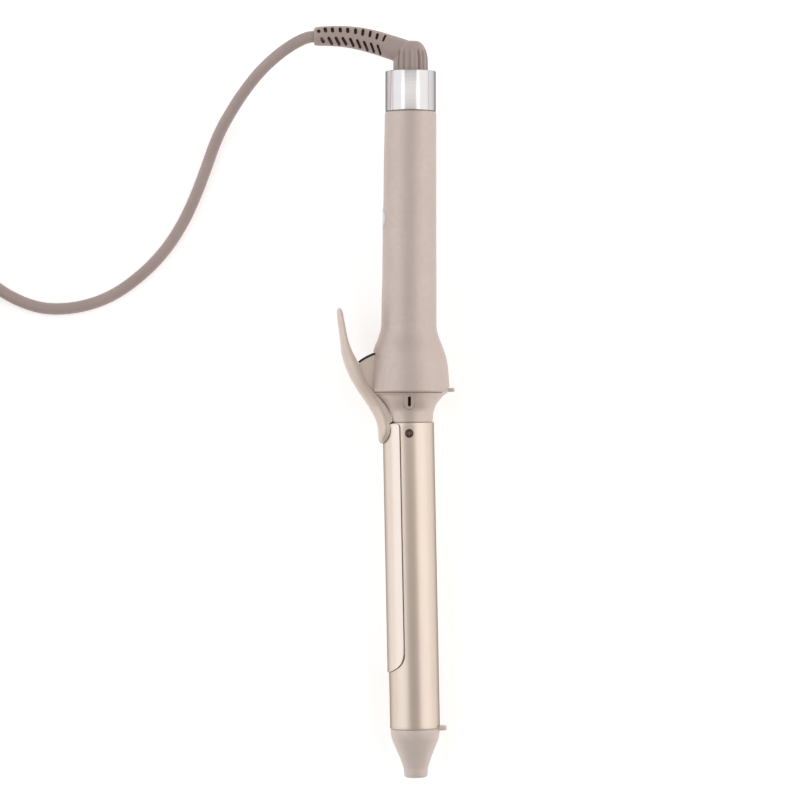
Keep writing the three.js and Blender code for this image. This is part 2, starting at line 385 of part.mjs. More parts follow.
const cordGroup = new THREE.Group(); // free cord, lying on the table
model.add(cordGroup);
const curve = new THREE.CatmullRomCurve3(CORD_ROUTE.map((q) => v3(...q)), false, "centripetal");
const cordShape = new THREE.Shape(Array.from({ length: 8 }, (_, i) => new THREE.Vector2((CORD_D / 2) * Math.cos(rad(22.5 + 45 * i)), (CORD_D / 2) * Math.sin(rad(22.5 + 45 * i)))));
cordGroup.add(mesh("supply_cord", solid(new THREE.ExtrudeGeometry(cordShape, { steps: 34, bevelEnabled: false, extrudePath: curve })), "dark"));
const tail = new THREE.CatmullRomCurve3(TAIL_ROUTE.map((q) => v3(...q)), false, "centripetal");
cordGroup.add(mesh("supply_cord_end", solid(new THREE.ExtrudeGeometry(cordShape, { steps: 12, bevelEnabled: false, extrudePath: tail })), "dark"));
const stand = new THREE.Matrix4().makeTranslation(COIL_CENTRE[0], COIL_CENTRE[1], 0).multiply(new THREE.Matrix4().makeRotationX(Math.PI / 2));
const ringProfile = [[COIL_IN, COIL_LOW + 1.5], [COIL_IN + 1.5, COIL_LOW], [COIL_OUT - 1.5, COIL_LOW], [COIL_OUT, COIL_LOW + 1.5], [COIL_OUT, 13], [COIL_OUT - 4, COIL_HIGH], [COIL_IN + 4, COIL_HIGH], [COIL_IN, 13]];
cordGroup.add(mesh("cord_coil", solid(new THREE.LatheGeometry([...ringProfile, ringProfile[0]].map(([r, y]) => new THREE.Vector2(r, y)), 32), stand), "dark"));
// tie: a band round the coil's section, at the side away from the iron's tip
const band = (g, w) => {
  const out = [[COIL_IN - g, COIL_LOW - g], [COIL_OUT + g, COIL_LOW - g], [COIL_OUT + g, 13 + g * 0.6], [COIL_OUT - 4 + g * 0.6, COIL_HIGH + g], [COIL_IN + 4 - g * 0.6, COIL_HIGH + g], [COIL_IN - g, 13 + g * 0.6]];
  return solid(new THREE.ExtrudeGeometry(new THREE.Shape(out.map(([x, y]) => new THREE.Vector2(x, y))), { depth: w, bevelEnabled: false }), new THREE.Matrix4().makeTranslation(0, 0, -w / 2));
};
const tieTurn = new THREE.Matrix4().makeTranslation(COIL_CENTRE[0], COIL_CENTRE[1], 0).multiply(new THREE.Matrix4().makeRotationZ(rad(100))).multiply(new THREE.Matrix4().makeRotationX(Math.PI / 2));
cordGroup.add(mesh("cord_tie", solid(geometryOf(band(0.75, 6.5).subtract(band(0.35, 12))), tieTurn), "black"));

// plug, lying flat, cord entry towards the coil
const plug = new THREE.Group();
plug.position.set(-296.9, -37.6, 8.2);
plug.rotation.z = rad(-84);
cordGroup.add(plug);
const section = (x, hy, hz) => Array.from({ length: 20 }, (_, k) => { const a = (2 * Math.PI * k) / 20; const c = Math.cos(a), s = Math.sin(a); return v3(x, hy * Math.sign(c) * Math.abs(c) ** 0.6, hz * Math.sign(s) * Math.abs(s) ** 0.6); });
plug.add(mesh("plug_body", solid(loft([section(-3.4 + 3.6, 3.9, 3.9), section(12, 4.8, 4.6), section(18, 8.5, 6.4), section(24, 12.2, 7.8), section(36, 12.6, 8.0), section(38.5, 11.6, 7.2)])), "dark"));
for (const [name, y, w] of [["plug_blade_wide", 6.35, 7.9], ["plug_blade_narrow", -6.35, 6.3]])
  plug.add(mesh(name, box(38.8, 55.0, y - 0.75, y + 0.75, -w / 2, w / 2).subtract(rod([51, y - 3, 0], [51, y + 3, 0], 1.6, 12)), "brass"));

model.position.set(FRAME_X, FRAME_Y, 0);
export default model;
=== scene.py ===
# Curling iron lying on a pale table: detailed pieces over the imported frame.
import bpy
import math
from mathutils import Matrix, Vector


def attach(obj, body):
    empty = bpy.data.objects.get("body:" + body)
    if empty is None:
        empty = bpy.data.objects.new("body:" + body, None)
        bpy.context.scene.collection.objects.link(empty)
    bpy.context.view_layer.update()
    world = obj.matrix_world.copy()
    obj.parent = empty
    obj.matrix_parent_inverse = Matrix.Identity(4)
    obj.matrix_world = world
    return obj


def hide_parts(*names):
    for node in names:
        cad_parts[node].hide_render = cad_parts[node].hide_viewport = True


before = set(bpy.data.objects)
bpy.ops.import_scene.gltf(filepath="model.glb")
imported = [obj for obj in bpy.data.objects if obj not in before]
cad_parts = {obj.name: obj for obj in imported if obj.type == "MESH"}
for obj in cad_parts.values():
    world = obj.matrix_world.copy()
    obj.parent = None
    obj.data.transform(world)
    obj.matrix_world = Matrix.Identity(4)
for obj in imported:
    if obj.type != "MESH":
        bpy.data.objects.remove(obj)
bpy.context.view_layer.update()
bpy.context.scene.view_settings.view_transform = "Standard"


def linspace(a, b, n):
    return [a + (b - a) * k / (n - 1) for k in range(n)]


def arange(a, b, step):
    return [a + step * k for k in range(int(math.ceil((b - a) / step - 1e-9)))]


def interp(x, xs, ys):
    if x <= xs[0]:
        return ys[0]
    for i in range(len(xs) - 1):
        if x <= xs[i + 1]:
            return ys[i] + (ys[i + 1] - ys[i]) * (x - xs[i]) / (xs[i + 1] - xs[i])
    return ys[-1]

# ------------------------------------------------------------------ shared dimensions, mm
TILT = math.radians(2.43)
LEAN = math.radians(1.14)
OX, OY = 13.43, 6.293
H0 = 20.04 * math.cos(TILT)
BASE = (-0.82, -16.52)
PIVOT = (-8.47, -9.18)
MM = Matrix.Scale(0.001, 4)
M_TABLE = MM @ Matrix.Translation((OX, OY, 0))
M_IRON = M_TABLE @ Matrix.Translation((0, 0, H0)) @ Matrix.Rotation(TILT, 4, "X")
M_BARREL = M_IRON @ Matrix.Translation((BASE[0], BASE[1], 0)) @ Matrix.Rotation(LEAN, 4, "Z")

# ------------------------------------------------------------------ camera
cam_data = bpy.data.cameras.new("camera")
cam_data.lens = 160
cam_data.sensor_width = 36
cam_data.clip_start = 0.05
cam_data.clip_end = 20
cam = bpy.data.objects.new("camera", cam_data)
bpy.context.scene.collection.objects.link(cam)
cam_rot = Matrix.Rotation(TILT, 4, "X")
cam.matrix_world = Matrix.Translation((M_IRON @ Vector((-5.41, -5.10, 1813.3)))) @ cam_rot
bpy.context.scene.camera = cam


# ------------------------------------------------------------------ material helpers
def srgb(r, g, b):
    f = lambda v: (v / 255 / 12.92) if v / 255 <= 0.04045 else ((v / 255 + 0.055) / 1.055) ** 2.4
    return (f(r), f(g), f(b), 1.0)


class Mat:
    def __init__(self, name):
        self.m = bpy.data.materials.new(name)
        self.m.use_nodes = True
        self.t = self.m.node_tree
        self.bsdf = self.t.nodes["Principled BSDF"]
        self.coord = self.t.nodes.new("ShaderNodeTexCoord").outputs["Object"]

    def node(self, kind, **inputs):
        n = self.t.nodes.new(kind)
        for k, v in inputs.items():
            if k.startswith("_"):
                setattr(n, k[1:], v)
            else:
                key = k.replace("__", " ")
                if hasattr(v, "is_output") or isinstance(v, bpy.types.NodeSocket):
                    self.t.links.new(v, n.inputs[key])
                else:
                    n.inputs[key].default_value = v
        return n

    def link(self, a, b):
        self.t.links.new(a, b)

    def stretch(self, sx, sy, sz):
        n = self.t.nodes.new("ShaderNodeMapping")
        n.inputs["Scale"].default_value = (sx, sy, sz)
        self.link(self.coord, n.inputs["Vector"])
        return n.outputs["Vector"]

    def noise(self, scale, detail=3.0, rough=0.55, vec=None):
        n = self.t.nodes.new("ShaderNodeTexNoise")
        n.inputs["Scale"].default_value = scale
        n.inputs["Detail"].default_value = detail
        n.inputs["Roughness"].default_value = rough
        self.link(vec or self.coord, n.inputs["Vector"])
        return n.outputs["Fac"]

    def remap(self, fac, lo, hi, a, b):
        n = self.t.nodes.new("ShaderNodeMapRange")
        for i, v in enumerate((lo, hi, a, b)):
            n.inputs[1 + i].default_value = v
        self.link(fac, n.inputs[0])
        return n.outputs[0]

    def mixcol(self, fac, a, b):
        n = self.t.nodes.new("ShaderNodeMix")
        n.data_type = "RGBA"
        for sock, v in ((n.inputs[0], fac), (n.inputs[6], a), (n.inputs[7], b)):
            if isinstance(v, bpy.types.NodeSocket):
                self.link(v, sock)
            else:
                sock.default_value = v
        return n.outputs[2]

    def bump(self, height, strength, distance, normal=None):
        n = self.t.nodes.new("ShaderNodeBump")
        n.inputs["Strength"].default_value = strength
        n.inputs["Distance"].default_value = distance
        self.link(height, n.inputs["Height"])
        if normal is not None:
            self.link(normal, n.inputs["Normal"])
        return n.outputs["Normal"]

    def set(self, **kw):
        for k, v in kw.items():
            s = self.bsdf.inputs[k.replace("__", " ")]
            if isinstance(v, bpy.types.NodeSocket):
                self.link(v, s)
            else:
                s.default_value = v


def shade(c, f):
    return (min(1, c[0] * f), min(1, c[1] * f), min(1, c[2] * f), 1.0)


def moulded(name, col, rough=0.5, spread=0.05, grain=2600, grain_depth=0.00004, strength=0.25, wear=0.12, specular=0.4, coat=0.0, metallic=0.0):
    """Moulded plastic: cloudy tone, fine spark-eroded grain, slightly paler worn edges."""
    m = Mat(name)
    cloud = m.noise(55, 4)
    fine = m.noise(grain, 2, 0.6)
    mott = m.noise(420, 3, 0.6)
    tone = m.mixcol(m.remap(cloud, 0.3, 0.7, 0, 1), shade(col, 1 - spread), shade(col, 1 + spread))
    tone = m.mixcol(m.remap(mott, 0.35, 0.65, 0, 0.35), tone, shade(col, 1 - spread * 1.6))
    geo = m.t.nodes.new("ShaderNodeNewGeometry")
    edge = m.remap(geo.outputs["Pointiness"], 0.53, 0.62, 0, wear)
    tone = m.mixcol(edge, tone, shade(col, 1.35))
    m.set(Base__Color=tone, Metallic=metallic)
    m.set(Roughness=m.remap(mott, 0.3, 0.7, rough - 0.05, rough + 0.06))
    n = m.bump(fine, strength, grain_depth)
    m.set(Normal=m.bump(cloud, 0.08, 0.0002, n))
    m.bsdf.inputs["Specular IOR Level"].default_value = specular
    if coat:
        m.bsdf.inputs["Coat Weight"].default_value = coat
        m.bsdf.inputs["Coat Roughness"].default_value = 0.18
    return m.m


def metal(name, col, rough, brushed=None, depth=0.00001, spread=0.03, metallic=1.0, fleck=0.0, rim=1.0):
    m = Mat(name)
    vec = m.stretch(*brushed) if brushed else None
    streak = m.noise(1.0 if brushed else 900, 4, 0.6, vec)
    cloud = m.noise(70, 3)
    tone = m.mixcol(m.remap(cloud, 0.3, 0.7, 0, 1), shade(col, 1 - spread), shade(col, 1 + spread))
    tone = m.mixcol(m.remap(streak, 0.3, 0.7, 0, 0.5), tone, shade(col, 1 - 2 * spread))
    if fleck:
        f = m.noise(5200, 2, 0.7)
        tone = m.mixcol(m.remap(f, 0.6, 0.72, 0, fleck), tone, shade(col, 1.3))
    m.set(Base__Color=tone, Metallic=metallic)
    m.set(Roughness=m.remap(streak, 0.3, 0.7, rough - 0.02, rough + 0.03))
    m.set(Normal=m.bump(streak, 0.2, depth))
    m.bsdf.inputs["Specular Tint"].default_value = (rim, rim, rim, 1)
    return m.m


C_HANDLE = (0.600, 0.502, 0.452, 1)
C_TRIM = (0.635, 0.530, 0.472, 1)
C_LEVER = (0.690, 0.570, 0.492, 1)
C_TIP = (0.66, 0.56, 0.505, 1)
C_RUBBER = (0.400, 0.312, 0.288, 1)
C_BARREL = (0.740, 0.622, 0.530, 1)

MATS = {
    "handle": moulded("soft_touch_shell", C_HANDLE, 0.50, 0.025, 3200, 0.00003, 0.15, 0.10, 0.4, 0.0, 0.6),
    "collar": moulded("satin_collar", C_TRIM, 0.42, 0.025, 2600, 0.00003, 0.12, 0.12, 0.45, 0.0, 0.6),
    "lever": moulded("satin_lever", C_LEVER, 0.40, 0.025, 2600, 0.00003, 0.12, 0.12, 0.45, 0.0, 0.45),
    "tip": moulded("satin_tip", C_TIP, 0.42, 0.025, 2400, 0.00004, 0.15, 0.12, 0.4, 0.0, 0.2),
    "bezel": moulded("bezel_bright_white", (0.985, 0.975, 0.965, 1), 0.3, 0.01, 1400, 0.00001, 0.05, 0.01, 0.6, 0.3),
    "rubber": moulded("cord_rubber", C_RUBBER, 0.44, 0.05, 1800, 0.00004, 0.25, 0.18, 0.5),
    "cord": moulded("cord_jacket", (0.405, 0.312, 0.288, 1), 0.45, 0.05, 1500, 0.00006, 0.3, 0.1, 0.4),
    # painted shade: a dark brown put on the walls of the collar slot and the sleeve's pockets, where shade falls
    "slotdark": moulded("recess_painted_shade", (0.27, 0.175, 0.155, 1), 0.7, 0.2, 1800, 0.00006, 0.3, 0.0, 0.2),
    "chrome": metal("polished_band", (0.635, 0.605, 0.60, 1), 0.16, (60, 900, 60), 0.0000015, 0.015, 1.0, 0.0, 0.2),
    "barrel": metal("pearl_barrel_coating", C_BARREL, 0.35, (1500, 14, 1500), 0.000003, 0.015, 0.95, 0.2, 0.15),
    "clip": metal("pearl_clip_coating", (0.80, 0.685, 0.60, 1), 0.33, (1500, 14, 1500), 0.000003, 0.015, 0.92, 0.2, 0.2),
    # dark edge material: on the clip's bevelled edge it is painted shade for the shadow line along the clip; it also
    # lines the screw heads' cross recesses
    "edge": metal("bare_metal_and_painted_edge_shade", (0.27, 0.20, 0.165, 1), 0.4, None, 0.00002, 0.2, 0.8),
    "button": moulded("glossy_button", (0.86, 0.85, 0.83, 1), 0.12, 0.02, 900, 0.00001, 0.05, 0.1, 0.6, 0.6),
    "black": moulded("black_rubber", (0.012, 0.011, 0.011, 1), 0.6, 0.2, 2000, 0.00005, 0.3, 0.15, 0.35),
    "blackscrew": metal("blackened_screw", (0.085, 0.058, 0.05, 1), 0.30, None, 0.00003, 0.25, 0.85),
    "steel": metal("bright_steel", (0.62, 0.61, 0.60, 1), 0.25, (900, 900, 30), 0.00001, 0.05),
    "brass": metal("bright_brass", (0.76, 0.58, 0.28, 1), 0.22, (900, 40, 900), 0.00001, 0.05),
    "white": moulded("natural_nylon", (0.80, 0.78, 0.73, 1), 0.5, 0.04, 1800, 0.00004, 0.2, 0.1),
    "board": moulded("board_laminate", (0.03, 0.17, 0.06, 1), 0.4, 0.15, 700, 0.00004, 0.2, 0.2),
    "red": moulded("red_insulation", (0.35, 0.03, 0.02, 1), 0.45, 0.08, 1500, 0.00004, 0.2, 0.1),
    "blue": moulded("blue_insulation", (0.03, 0.07, 0.28, 1), 0.45, 0.08, 1500, 0.00004, 0.2, 0.1),
    "alu": metal("extruded_aluminium", (0.74, 0.75, 0.76, 1), 0.35, (900, 20, 900), 0.00002, 0.05),
    "plug": moulded("plug_moulding", (0.30, 0.228, 0.210, 1), 0.5, 0.05, 1700, 0.00006, 0.3, 0.2, 0.4),
    "strap": moulded("woven_strap", (0.015, 0.014, 0.014, 1), 0.85, 0.3, 1300, 0.00015, 0.6, 0.1, 0.2),
}


# ------------------------------------------------------------------ mesh helpers (mm, local)
def new_obj(name, verts, faces, mats=("handle",)):
    me = bpy.data.meshes.new(name)
    me.from_pydata([tuple(map(float, v)) for v in verts], [], faces)
    me.validate()
    o = bpy.data.objects.new(name, me)
    bpy.context.scene.collection.objects.link(o)
    for k in mats:
        me.materials.append(MATS[k])
    bm_fix(me)
    return o


def bm_fix(me):
    import bmesh
    bm = bmesh.new()
    bm.from_mesh(me)
    bmesh.ops.remove_doubles(bm, verts=bm.verts, dist=1e-4)
    bmesh.ops.recalc_face_normals(bm, faces=bm.faces)
    bm.to_mesh(me)
    bm.free()
    me.update()


def apply_mods(o):
    bpy.context.view_layer.update()
    dg = bpy.context.evaluated_depsgraph_get()
    me = bpy.data.meshes.new_from_object(o.evaluated_get(dg))
    old = o.data
    o.modifiers.clear()
    o.data = me
    bpy.data.meshes.remove(old)


def boolean(o, *others, op="DIFFERENCE"):
    for c in others:
        md = o.modifiers.new("b", "BOOLEAN")
        md.operation = op
        md.solver = "EXACT"
        md.object = c
        if hasattr(md, "material_mode"):
            md.material_mode = "TRANSFER"
    apply_mods(o)
    for c in others:
        me = c.data
        bpy.data.objects.remove(c)
        bpy.data.meshes.remove(me)


def place(o, matrix, body, nodes=(), angle=32):
    o.data.transform(matrix)
    o.data.update()
    if matrix.determinant() < 0:
        o.data.flip_normals()
    for p in o.data.polygons:
        p.use_smooth = True
    o.data.set_sharp_from_angle(angle=math.radians(angle))
    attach(o, body)
    if nodes:
        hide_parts(*nodes)
    return o


def grid_solid(outer, inner):
    """closed solid between an outer and an inner grid, both [rows][columns]"""
    R, Cn = len(outer), len(outer[0])
    v = [p for row in outer for p in row] + [p for row in inner for p in row]
    off = R * Cn
    f = []
    for r in range(R - 1):
        for c in range(Cn - 1):
            a = r * Cn + c
            f.append((a, a + 1, a + Cn + 1, a + Cn))
            f.append((off + a, off + a + Cn, off + a + Cn + 1, off + a + 1))
    for c in range(Cn - 1):
        f.append((c, off + c, off + c + 1, c + 1))
        a = (R - 1) * Cn + c
        f.append((a, a + 1, off + a + 1, off + a))
    for r in range(R - 1):
        a = r * Cn
        f.append((a, a + Cn, off + a + Cn, off + a))
        a = r * Cn + Cn - 1
        f.append((a, off + a, off + a + Cn, a + Cn))
    return v, f


def loft(rings, loop=False, caps=True):
    n = len(rings[0])
    v = [p for r in rings for p in r]
    f = []
    last = len(rings) if loop else len(rings) - 1
    for r in range(last):
        for i in range(n):
            a, b = r * n + i, r * n + (i + 1) % n
            c, d = ((r + 1) % len(rings)) * n + i, ((r + 1) % len(rings)) * n + (i + 1) % n
            f.append((a, b, d, c))
    if caps and not loop:
        for r in (0, len(rings) - 1):
            k = len(v)
            v.append(tuple(sum(p[c] for p in rings[r]) / n for c in range(3)))
            for i in range(n):
                f.append((r * n + i, r * n + (i + 1) % n, k))
    return v, f


def lathe(profile, n=160, cx=0.0, closed=True):
    """profile of (radius, y), turned round the line x = cx, z = 0"""
    rings = []
    for i in range(n):
        a = 2 * math.pi * i / n
        rings.append([(cx + r * math.cos(a), y, r * math.sin(a)) for r, y in profile])
    if closed:
        v, f = loft(rings, loop=True, caps=False)
        return v, f
    m = len(profile)
    v = [p for r in rings for p in r]
    f = []
    for i in range(n):
        j = (i + 1) % n
        for k in range(m - 1):
            f.append((i * m + k, i * m + k + 1, j * m + k + 1, j * m + k))
    return v, f


def tube(a, b, r, n=48, r2=None):
    a, b = Vector(a), Vector(b)
    d = (b - a).normalized()
    u = d.orthogonal().normalized()
    w = d.cross(u)
    r2 = r if r2 is None else r2
    rings = [[tuple(p + (u * math.cos(2 * math.pi * i / n) + w * math.sin(2 * math.pi * i / n)) * q) for i in range(n)] for p, q in ((a, r), (b, r2))]
    return loft(rings)


def prism(outline, z0, z1):
    n = len(outline)
    v = [(x, y, z0) for x, y in outline] + [(x, y, z1) for x, y in outline]
    f = [tuple(range(n)), tuple(range(2 * n - 1, n - 1, -1))]
    f += [(i, (i + 1) % n, n + (i + 1) % n, n + i) for i in range(n)]
    return v, f


def box(x0, x1, y0, y1, z0, z1):
    return prism([(x0, y0), (x1, y0), (x1, y1), (x0, y1)], z0, z1)


def rounded(profile, radius, steps=5):
    """round the corners of a closed (r, y) profile"""
    out = []
    n = len(profile)
    for i in range(n):
        p, a, b = Vector(profile[i]), Vector(profile[i - 1]), Vector(profile[(i + 1) % n])
        u, w = a - p, b - p
        lu, lw = u.length, w.length
        if lu < 1e-9 or lw < 1e-9:
            continue
        cosang = u.dot(w) / lu / lw
        if cosang < -0.94:
            out.append(tuple(p))
            continue
        d = min(radius, lu * 0.45, lw * 0.45)
        s, e = p + u / lu * d, p + w / lw * d
        for k in range(steps + 1):
            t = k / steps
            out.append(tuple((1 - t) ** 2 * s + 2 * t * (1 - t) * p + t * t * e))
    return out


def pchip(xs, ys):
    pairs = sorted(zip(xs, ys))
    xs, ys = [float(q[0]) for q in pairs], [float(q[1]) for q in pairs]
    h = [b - a for a, b in zip(xs, xs[1:])]
    d = [(b - a) / w for a, b, w in zip(ys, ys[1:], h)]
    m = [0.0] * len(xs)
    m[0], m[-1] = d[0], d[-1]
    for i in range(1, len(xs) - 1):
        if d[i - 1] * d[i] > 0:
            w1, w2 = 2 * h[i] + h[i - 1], h[i] + 2 * h[i - 1]
            m[i] = (w1 + w2) / (w1 / d[i - 1] + w2 / d[i])

    def f(x):
        x = min(max(x, xs[0]), xs[-1])
        i = 0
        while i < len(xs) - 2 and x >= xs[i + 1]:
            i += 1
        t = (x - xs[i]) / h[i]
        return (2 * t**3 - 3 * t**2 + 1) * ys[i] + (t**3 - 2 * t**2 + t) * h[i] * m[i] + (-2 * t**3 + 3 * t**2) * ys[i + 1] + (t**3 - t**2) * h[i] * m[i + 1]

    return f


def catmull(points, per):
    """smooth line through the points, centripetal like the frame's tube"""
    P = [Vector(p) for p in points]
    P = [2 * P[0] - P[1]] + P + [2 * P[-1] - P[-2]]
    out = []
    for i in range(1, len(P) - 2):
        p0, p1, p2, p3 = P[i - 1 : i + 3]
        t0 = 0
        t1 = t0 + max((p1 - p0).length ** 0.5, 1e-6)
        t2 = t1 + max((p2 - p1).length ** 0.5, 1e-6)
        t3 = t2 + max((p3 - p2).length ** 0.5, 1e-6)
        for k in range(per):
            t = t1 + (t2 - t1) * k / per
            a1 = (t1 - t) / (t1 - t0) * p0 + (t - t0) / (t1 - t0) * p1
            a2 = (t2 - t) / (t2 - t1) * p1 + (t - t1) / (t2 - t1) * p2
            a3 = (t3 - t) / (t3 - t2) * p2 + (t - t2) / (t3 - t2) * p3
            b1 = (t2 - t) / (t2 - t0) * a1 + (t - t0) / (t2 - t0) * a2
            b2 = (t3 - t) / (t3 - t1) * a2 + (t - t1) / (t3 - t1) * a3
            out.append((t2 - t) / (t2 - t1) * b1 + (t - t1) / (t2 - t1) * b2)
    out.append(P[-2])
    return out


# ------------------------------------------------------------------ supply cord, coil, plug
CORD_ROUTE = [
    (-50.1, 180.0, 27.67), (-53.0, 179.45, 27.65), (-57.2, 177.7, 27.3), (-62.2, 174.85, 26.3), (-67.0, 171.6, 24.9), (-71.5, 168.1, 22.7), (-76.1, 164.1, 20.0),
    (-80.8, 159.2, 16.9), (-87.0, 151.7, 12.1), (-92.2, 144.3, 8.2),
    (-97.2, 136.0, 5.1), (-101.3, 127.0, 3.5), (-105.6, 115.0, 3.0), (-110.5, 102.0, 3.0), (-117.0, 87.8, 3.0), (-126.2, 73.4, 3.0),
    (-139.0, 60.0, 3.0), (-155.0, 49.0, 3.0), (-172.5, 43.4, 3.0), (-190.0, 43.2, 3.0), (-206.5, 49.3, 3.2), (-220.6, 59.6, 3.5), (-232.6, 69.7, 3.8),
]
TAIL_ROUTE = [
    (-308.0, 26.0, 9.6), (-306.3, 14.0, 8.0), (-304.0, 2.0, 6.4), (-301.4, -10.0, 5.8), (-299.2, -21.0, 6.4), (-297.7, -30.0, 7.6), (-296.9, -37.0, 8.2),
]
COIL = (-262.0, 34.0)
TURNS = [(37.9, 3.8), (31.85, 3.8), (25.8, 3.8), (25.8, 9.9), (31.85, 9.9), (28.8, 15.3), (34.9, 15.3), (37.9, 9.9)]
pts = catmull([(-43.0, 180.2, 27.64)] + CORD_ROUTE, 5)
coil = []
first, last = 62.0, 180.0 + 360 * 7
steps = int((last - first) / 9)
for k in range(steps + 1):
    ang = first + (last - first) * k / steps
    u = (ang - 50) / 360
    i = min(int(u), 7)
    w = u - i
    r, z = TURNS[i]
    if w > 0.55 and i < 7:
        s = (w - 0.55) / 0.45
        s = s * s * (3 - 2 * s)
        r, z = r + (TURNS[i + 1][0] - r) * s, z + (TURNS[i + 1][1] - z) * s
    if ang < first + 26:
        s = (ang - first) / 26
        r = r + (44.0 - 37.9) * (1 - s) ** 2
    if ang > last - 26:
        s = (last - ang) / 26
        r = r + (44.2 - 37.9) * (1 - s) ** 2
    coil.append(Vector((COIL[0] + r * math.cos(math.radians(ang)), COIL[1] + r * math.sin(math.radians(ang)), z)))
tail = catmull(TAIL_ROUTE + [(-296.6, -40.5, 8.2)], 5)
route = pts[:-1] + coil + tail
crv = bpy.data.curves.new("supply_cord_run", "CURVE")
crv.dimensions = "3D"
crv.bevel_depth = 0.003
crv.bevel_resolution = 6
crv.use_fill_caps = True
sp = crv.splines.new("POLY")
world_pts = [M_TABLE @ Vector(p) for p in route]
sp.points.add(len(world_pts) - 1)
for q, p in zip(sp.points, world_pts):
    q.co = (*p, 1)
sp.use_smooth = True
crv.materials.append(MATS["cord"])
cord = bpy.data.objects.new("supply_cord_run", crv)
bpy.context.scene.collection.objects.link(cord)
length = sum((b - a).length for a, b in zip(world_pts, world_pts[1:]))
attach(cord, "cord_set")
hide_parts("supply_cord", "supply_cord_end", "cord_coil")

# tie: a woven strap round the coil's section
GI, GO, ZL, ZH = 22.8, 41.0, 0.8, 18.8


def band(g):
    return [(GI - g, ZL - g), (GO + g, ZL - g), (GO + g, 13 + g * 0.6), (GO - 4 + g * 0.6, ZH + g), (GI + 4 - g * 0.6, ZH + g), (GI - g, 13 + g * 0.6)]


outer_b, inner_b = rounded(band(0.72), 2.2, 5), rounded(band(0.37), 2.0, 5)
rings = []
for w in (-3.2, -3.0, -1.5, 0, 1.5, 3.0, 3.2):
    e = 0.12 if abs(w) > 3.1 else 0.0
    rings.append(([(x, z) for x, z in outer_b], w, e))
v, f = [], []
nb = len(outer_b)
for ring, w, e in rings:
    for (x, z), (xi, zi) in zip(outer_b, inner_b):
        v.append((x + (xi - x) * e, w, z + (zi - z) * e))
for ring, w, e in rings:
    for (x, z), (xi, zi) in zip(outer_b, inner_b):
        v.append((xi, w, zi))
R = len(rings)
for r in range(R - 1):
    for i in range(nb):
        j = (i + 1) % nb
        f.append((r * nb + i, r * nb + j, (r + 1) * nb + j, (r + 1) * nb + i))
        o_ = R * nb
        f.append((o_ + r * nb + i, o_ + (r + 1) * nb + i, o_ + (r + 1) * nb + j, o_ + r * nb + j))
for r in (0, R - 1):
    for i in range(nb):
        j = (i + 1) % nb
        f.append((r * nb + i, r * nb + j, R * nb + r * nb + j, R * nb + r * nb + i))
tie = new_obj("cord_tie_strap", v, f, ("strap",))
place(tie, M_TABLE @ Matrix.Translation((COIL[0], COIL[1], 0)) @ Matrix.Rotation(math.radians(100), 4, "Z"), "cord_set", ("cord_tie",))

# plug
M_PLUG = M_TABLE @ Matrix.Translation((-296.9, -37.6, 8.2)) @ Matrix.Rotation(math.radians(-84), 4, "Z")


def sup(x, hy, hz, n=72, e=0.6):
    out = []
    for k in range(n):
        a = 2 * math.pi * k / n
        c, s = math.cos(a), math.sin(a)
        out.append((x, hy * math.copysign(abs(c) ** e, c), hz * math.copysign(abs(s) ** e, s)))
    return out


secs = [(0.2, 3.3, 3.3, 0.95), (0.5, 3.7, 3.7, 0.95)]
for k in range(5):  # ribs of the plug's strain relief
    x = 1.4 + k * 2.3
    r = 3.9 + 0.22 * k
    secs += [(x, r, r, 0.95), (x + 1.2, r + 0.05, r + 0.05, 0.95), (x + 1.4, r - 0.55, r - 0.55, 0.95), (x + 2.1, r - 0.5, r - 0.5, 0.95)]
secs += [(13.2, 5.2, 4.9, 0.9), (15.5, 6.6, 5.5, 0.8), (18, 8.6, 6.4, 0.68), (21, 10.8, 7.2, 0.6), (24, 12.1, 7.7, 0.56)]
secs += [(26, 12.4, 7.85, 0.55), (26.4, 12.0, 7.5, 0.55), (27.2, 12.0, 7.5, 0.55), (27.6, 12.5, 7.9, 0.55), (30, 12.55, 7.95, 0.55), (36, 12.5, 7.95, 0.55), (37.6, 12.2, 7.7, 0.56), (38.4, 11.6, 7.2, 0.58), (38.5, 11.0, 6.6, 0.6)]
v, f = loft([sup(x, hy, hz, 72, e) for x, hy, hz, e in secs])
plug = new_obj("plug_moulded_body", v, f, ("plug",))
place(plug, M_PLUG, "cord_set", ("plug_body",), 30)
for nm, y, w in (("plug_blade_wide", 6.35, 7.9), ("plug_blade_narrow", -6.35, 6.3)):
    out = [(38.3, -w / 2), (53.2, -w / 2), (54.6, -w / 2 + 1.0), (55.0, -w / 2 + 2.0), (55.0, w / 2 - 2.0), (54.6, w / 2 - 1.0), (53.2, w / 2), (38.3, w / 2)]
    rings = []
    for t, s in ((-0.75, 0.12), (-0.6, 0.0), (0.6, 0.0), (0.75, 0.12)):
        rings.append([(x - (s if x > 50 else 0), y + t, z - math.copysign(s, z)) for x, z in out])
    v, f = loft(rings, caps=False)
    n = len(out)
    f += [tuple(range(n)), tuple(range(3 * n, 4 * n))]
    b = new_obj(nm + "_metal", v, f, ("brass",))
    v, f = tube((51, y - 3, 0), (51, y + 3, 0), 1.6)
    boolean(b, new_obj("c", v, f, ("brass",)))
    place(b, M_PLUG, "cord_set", (nm,), 30)

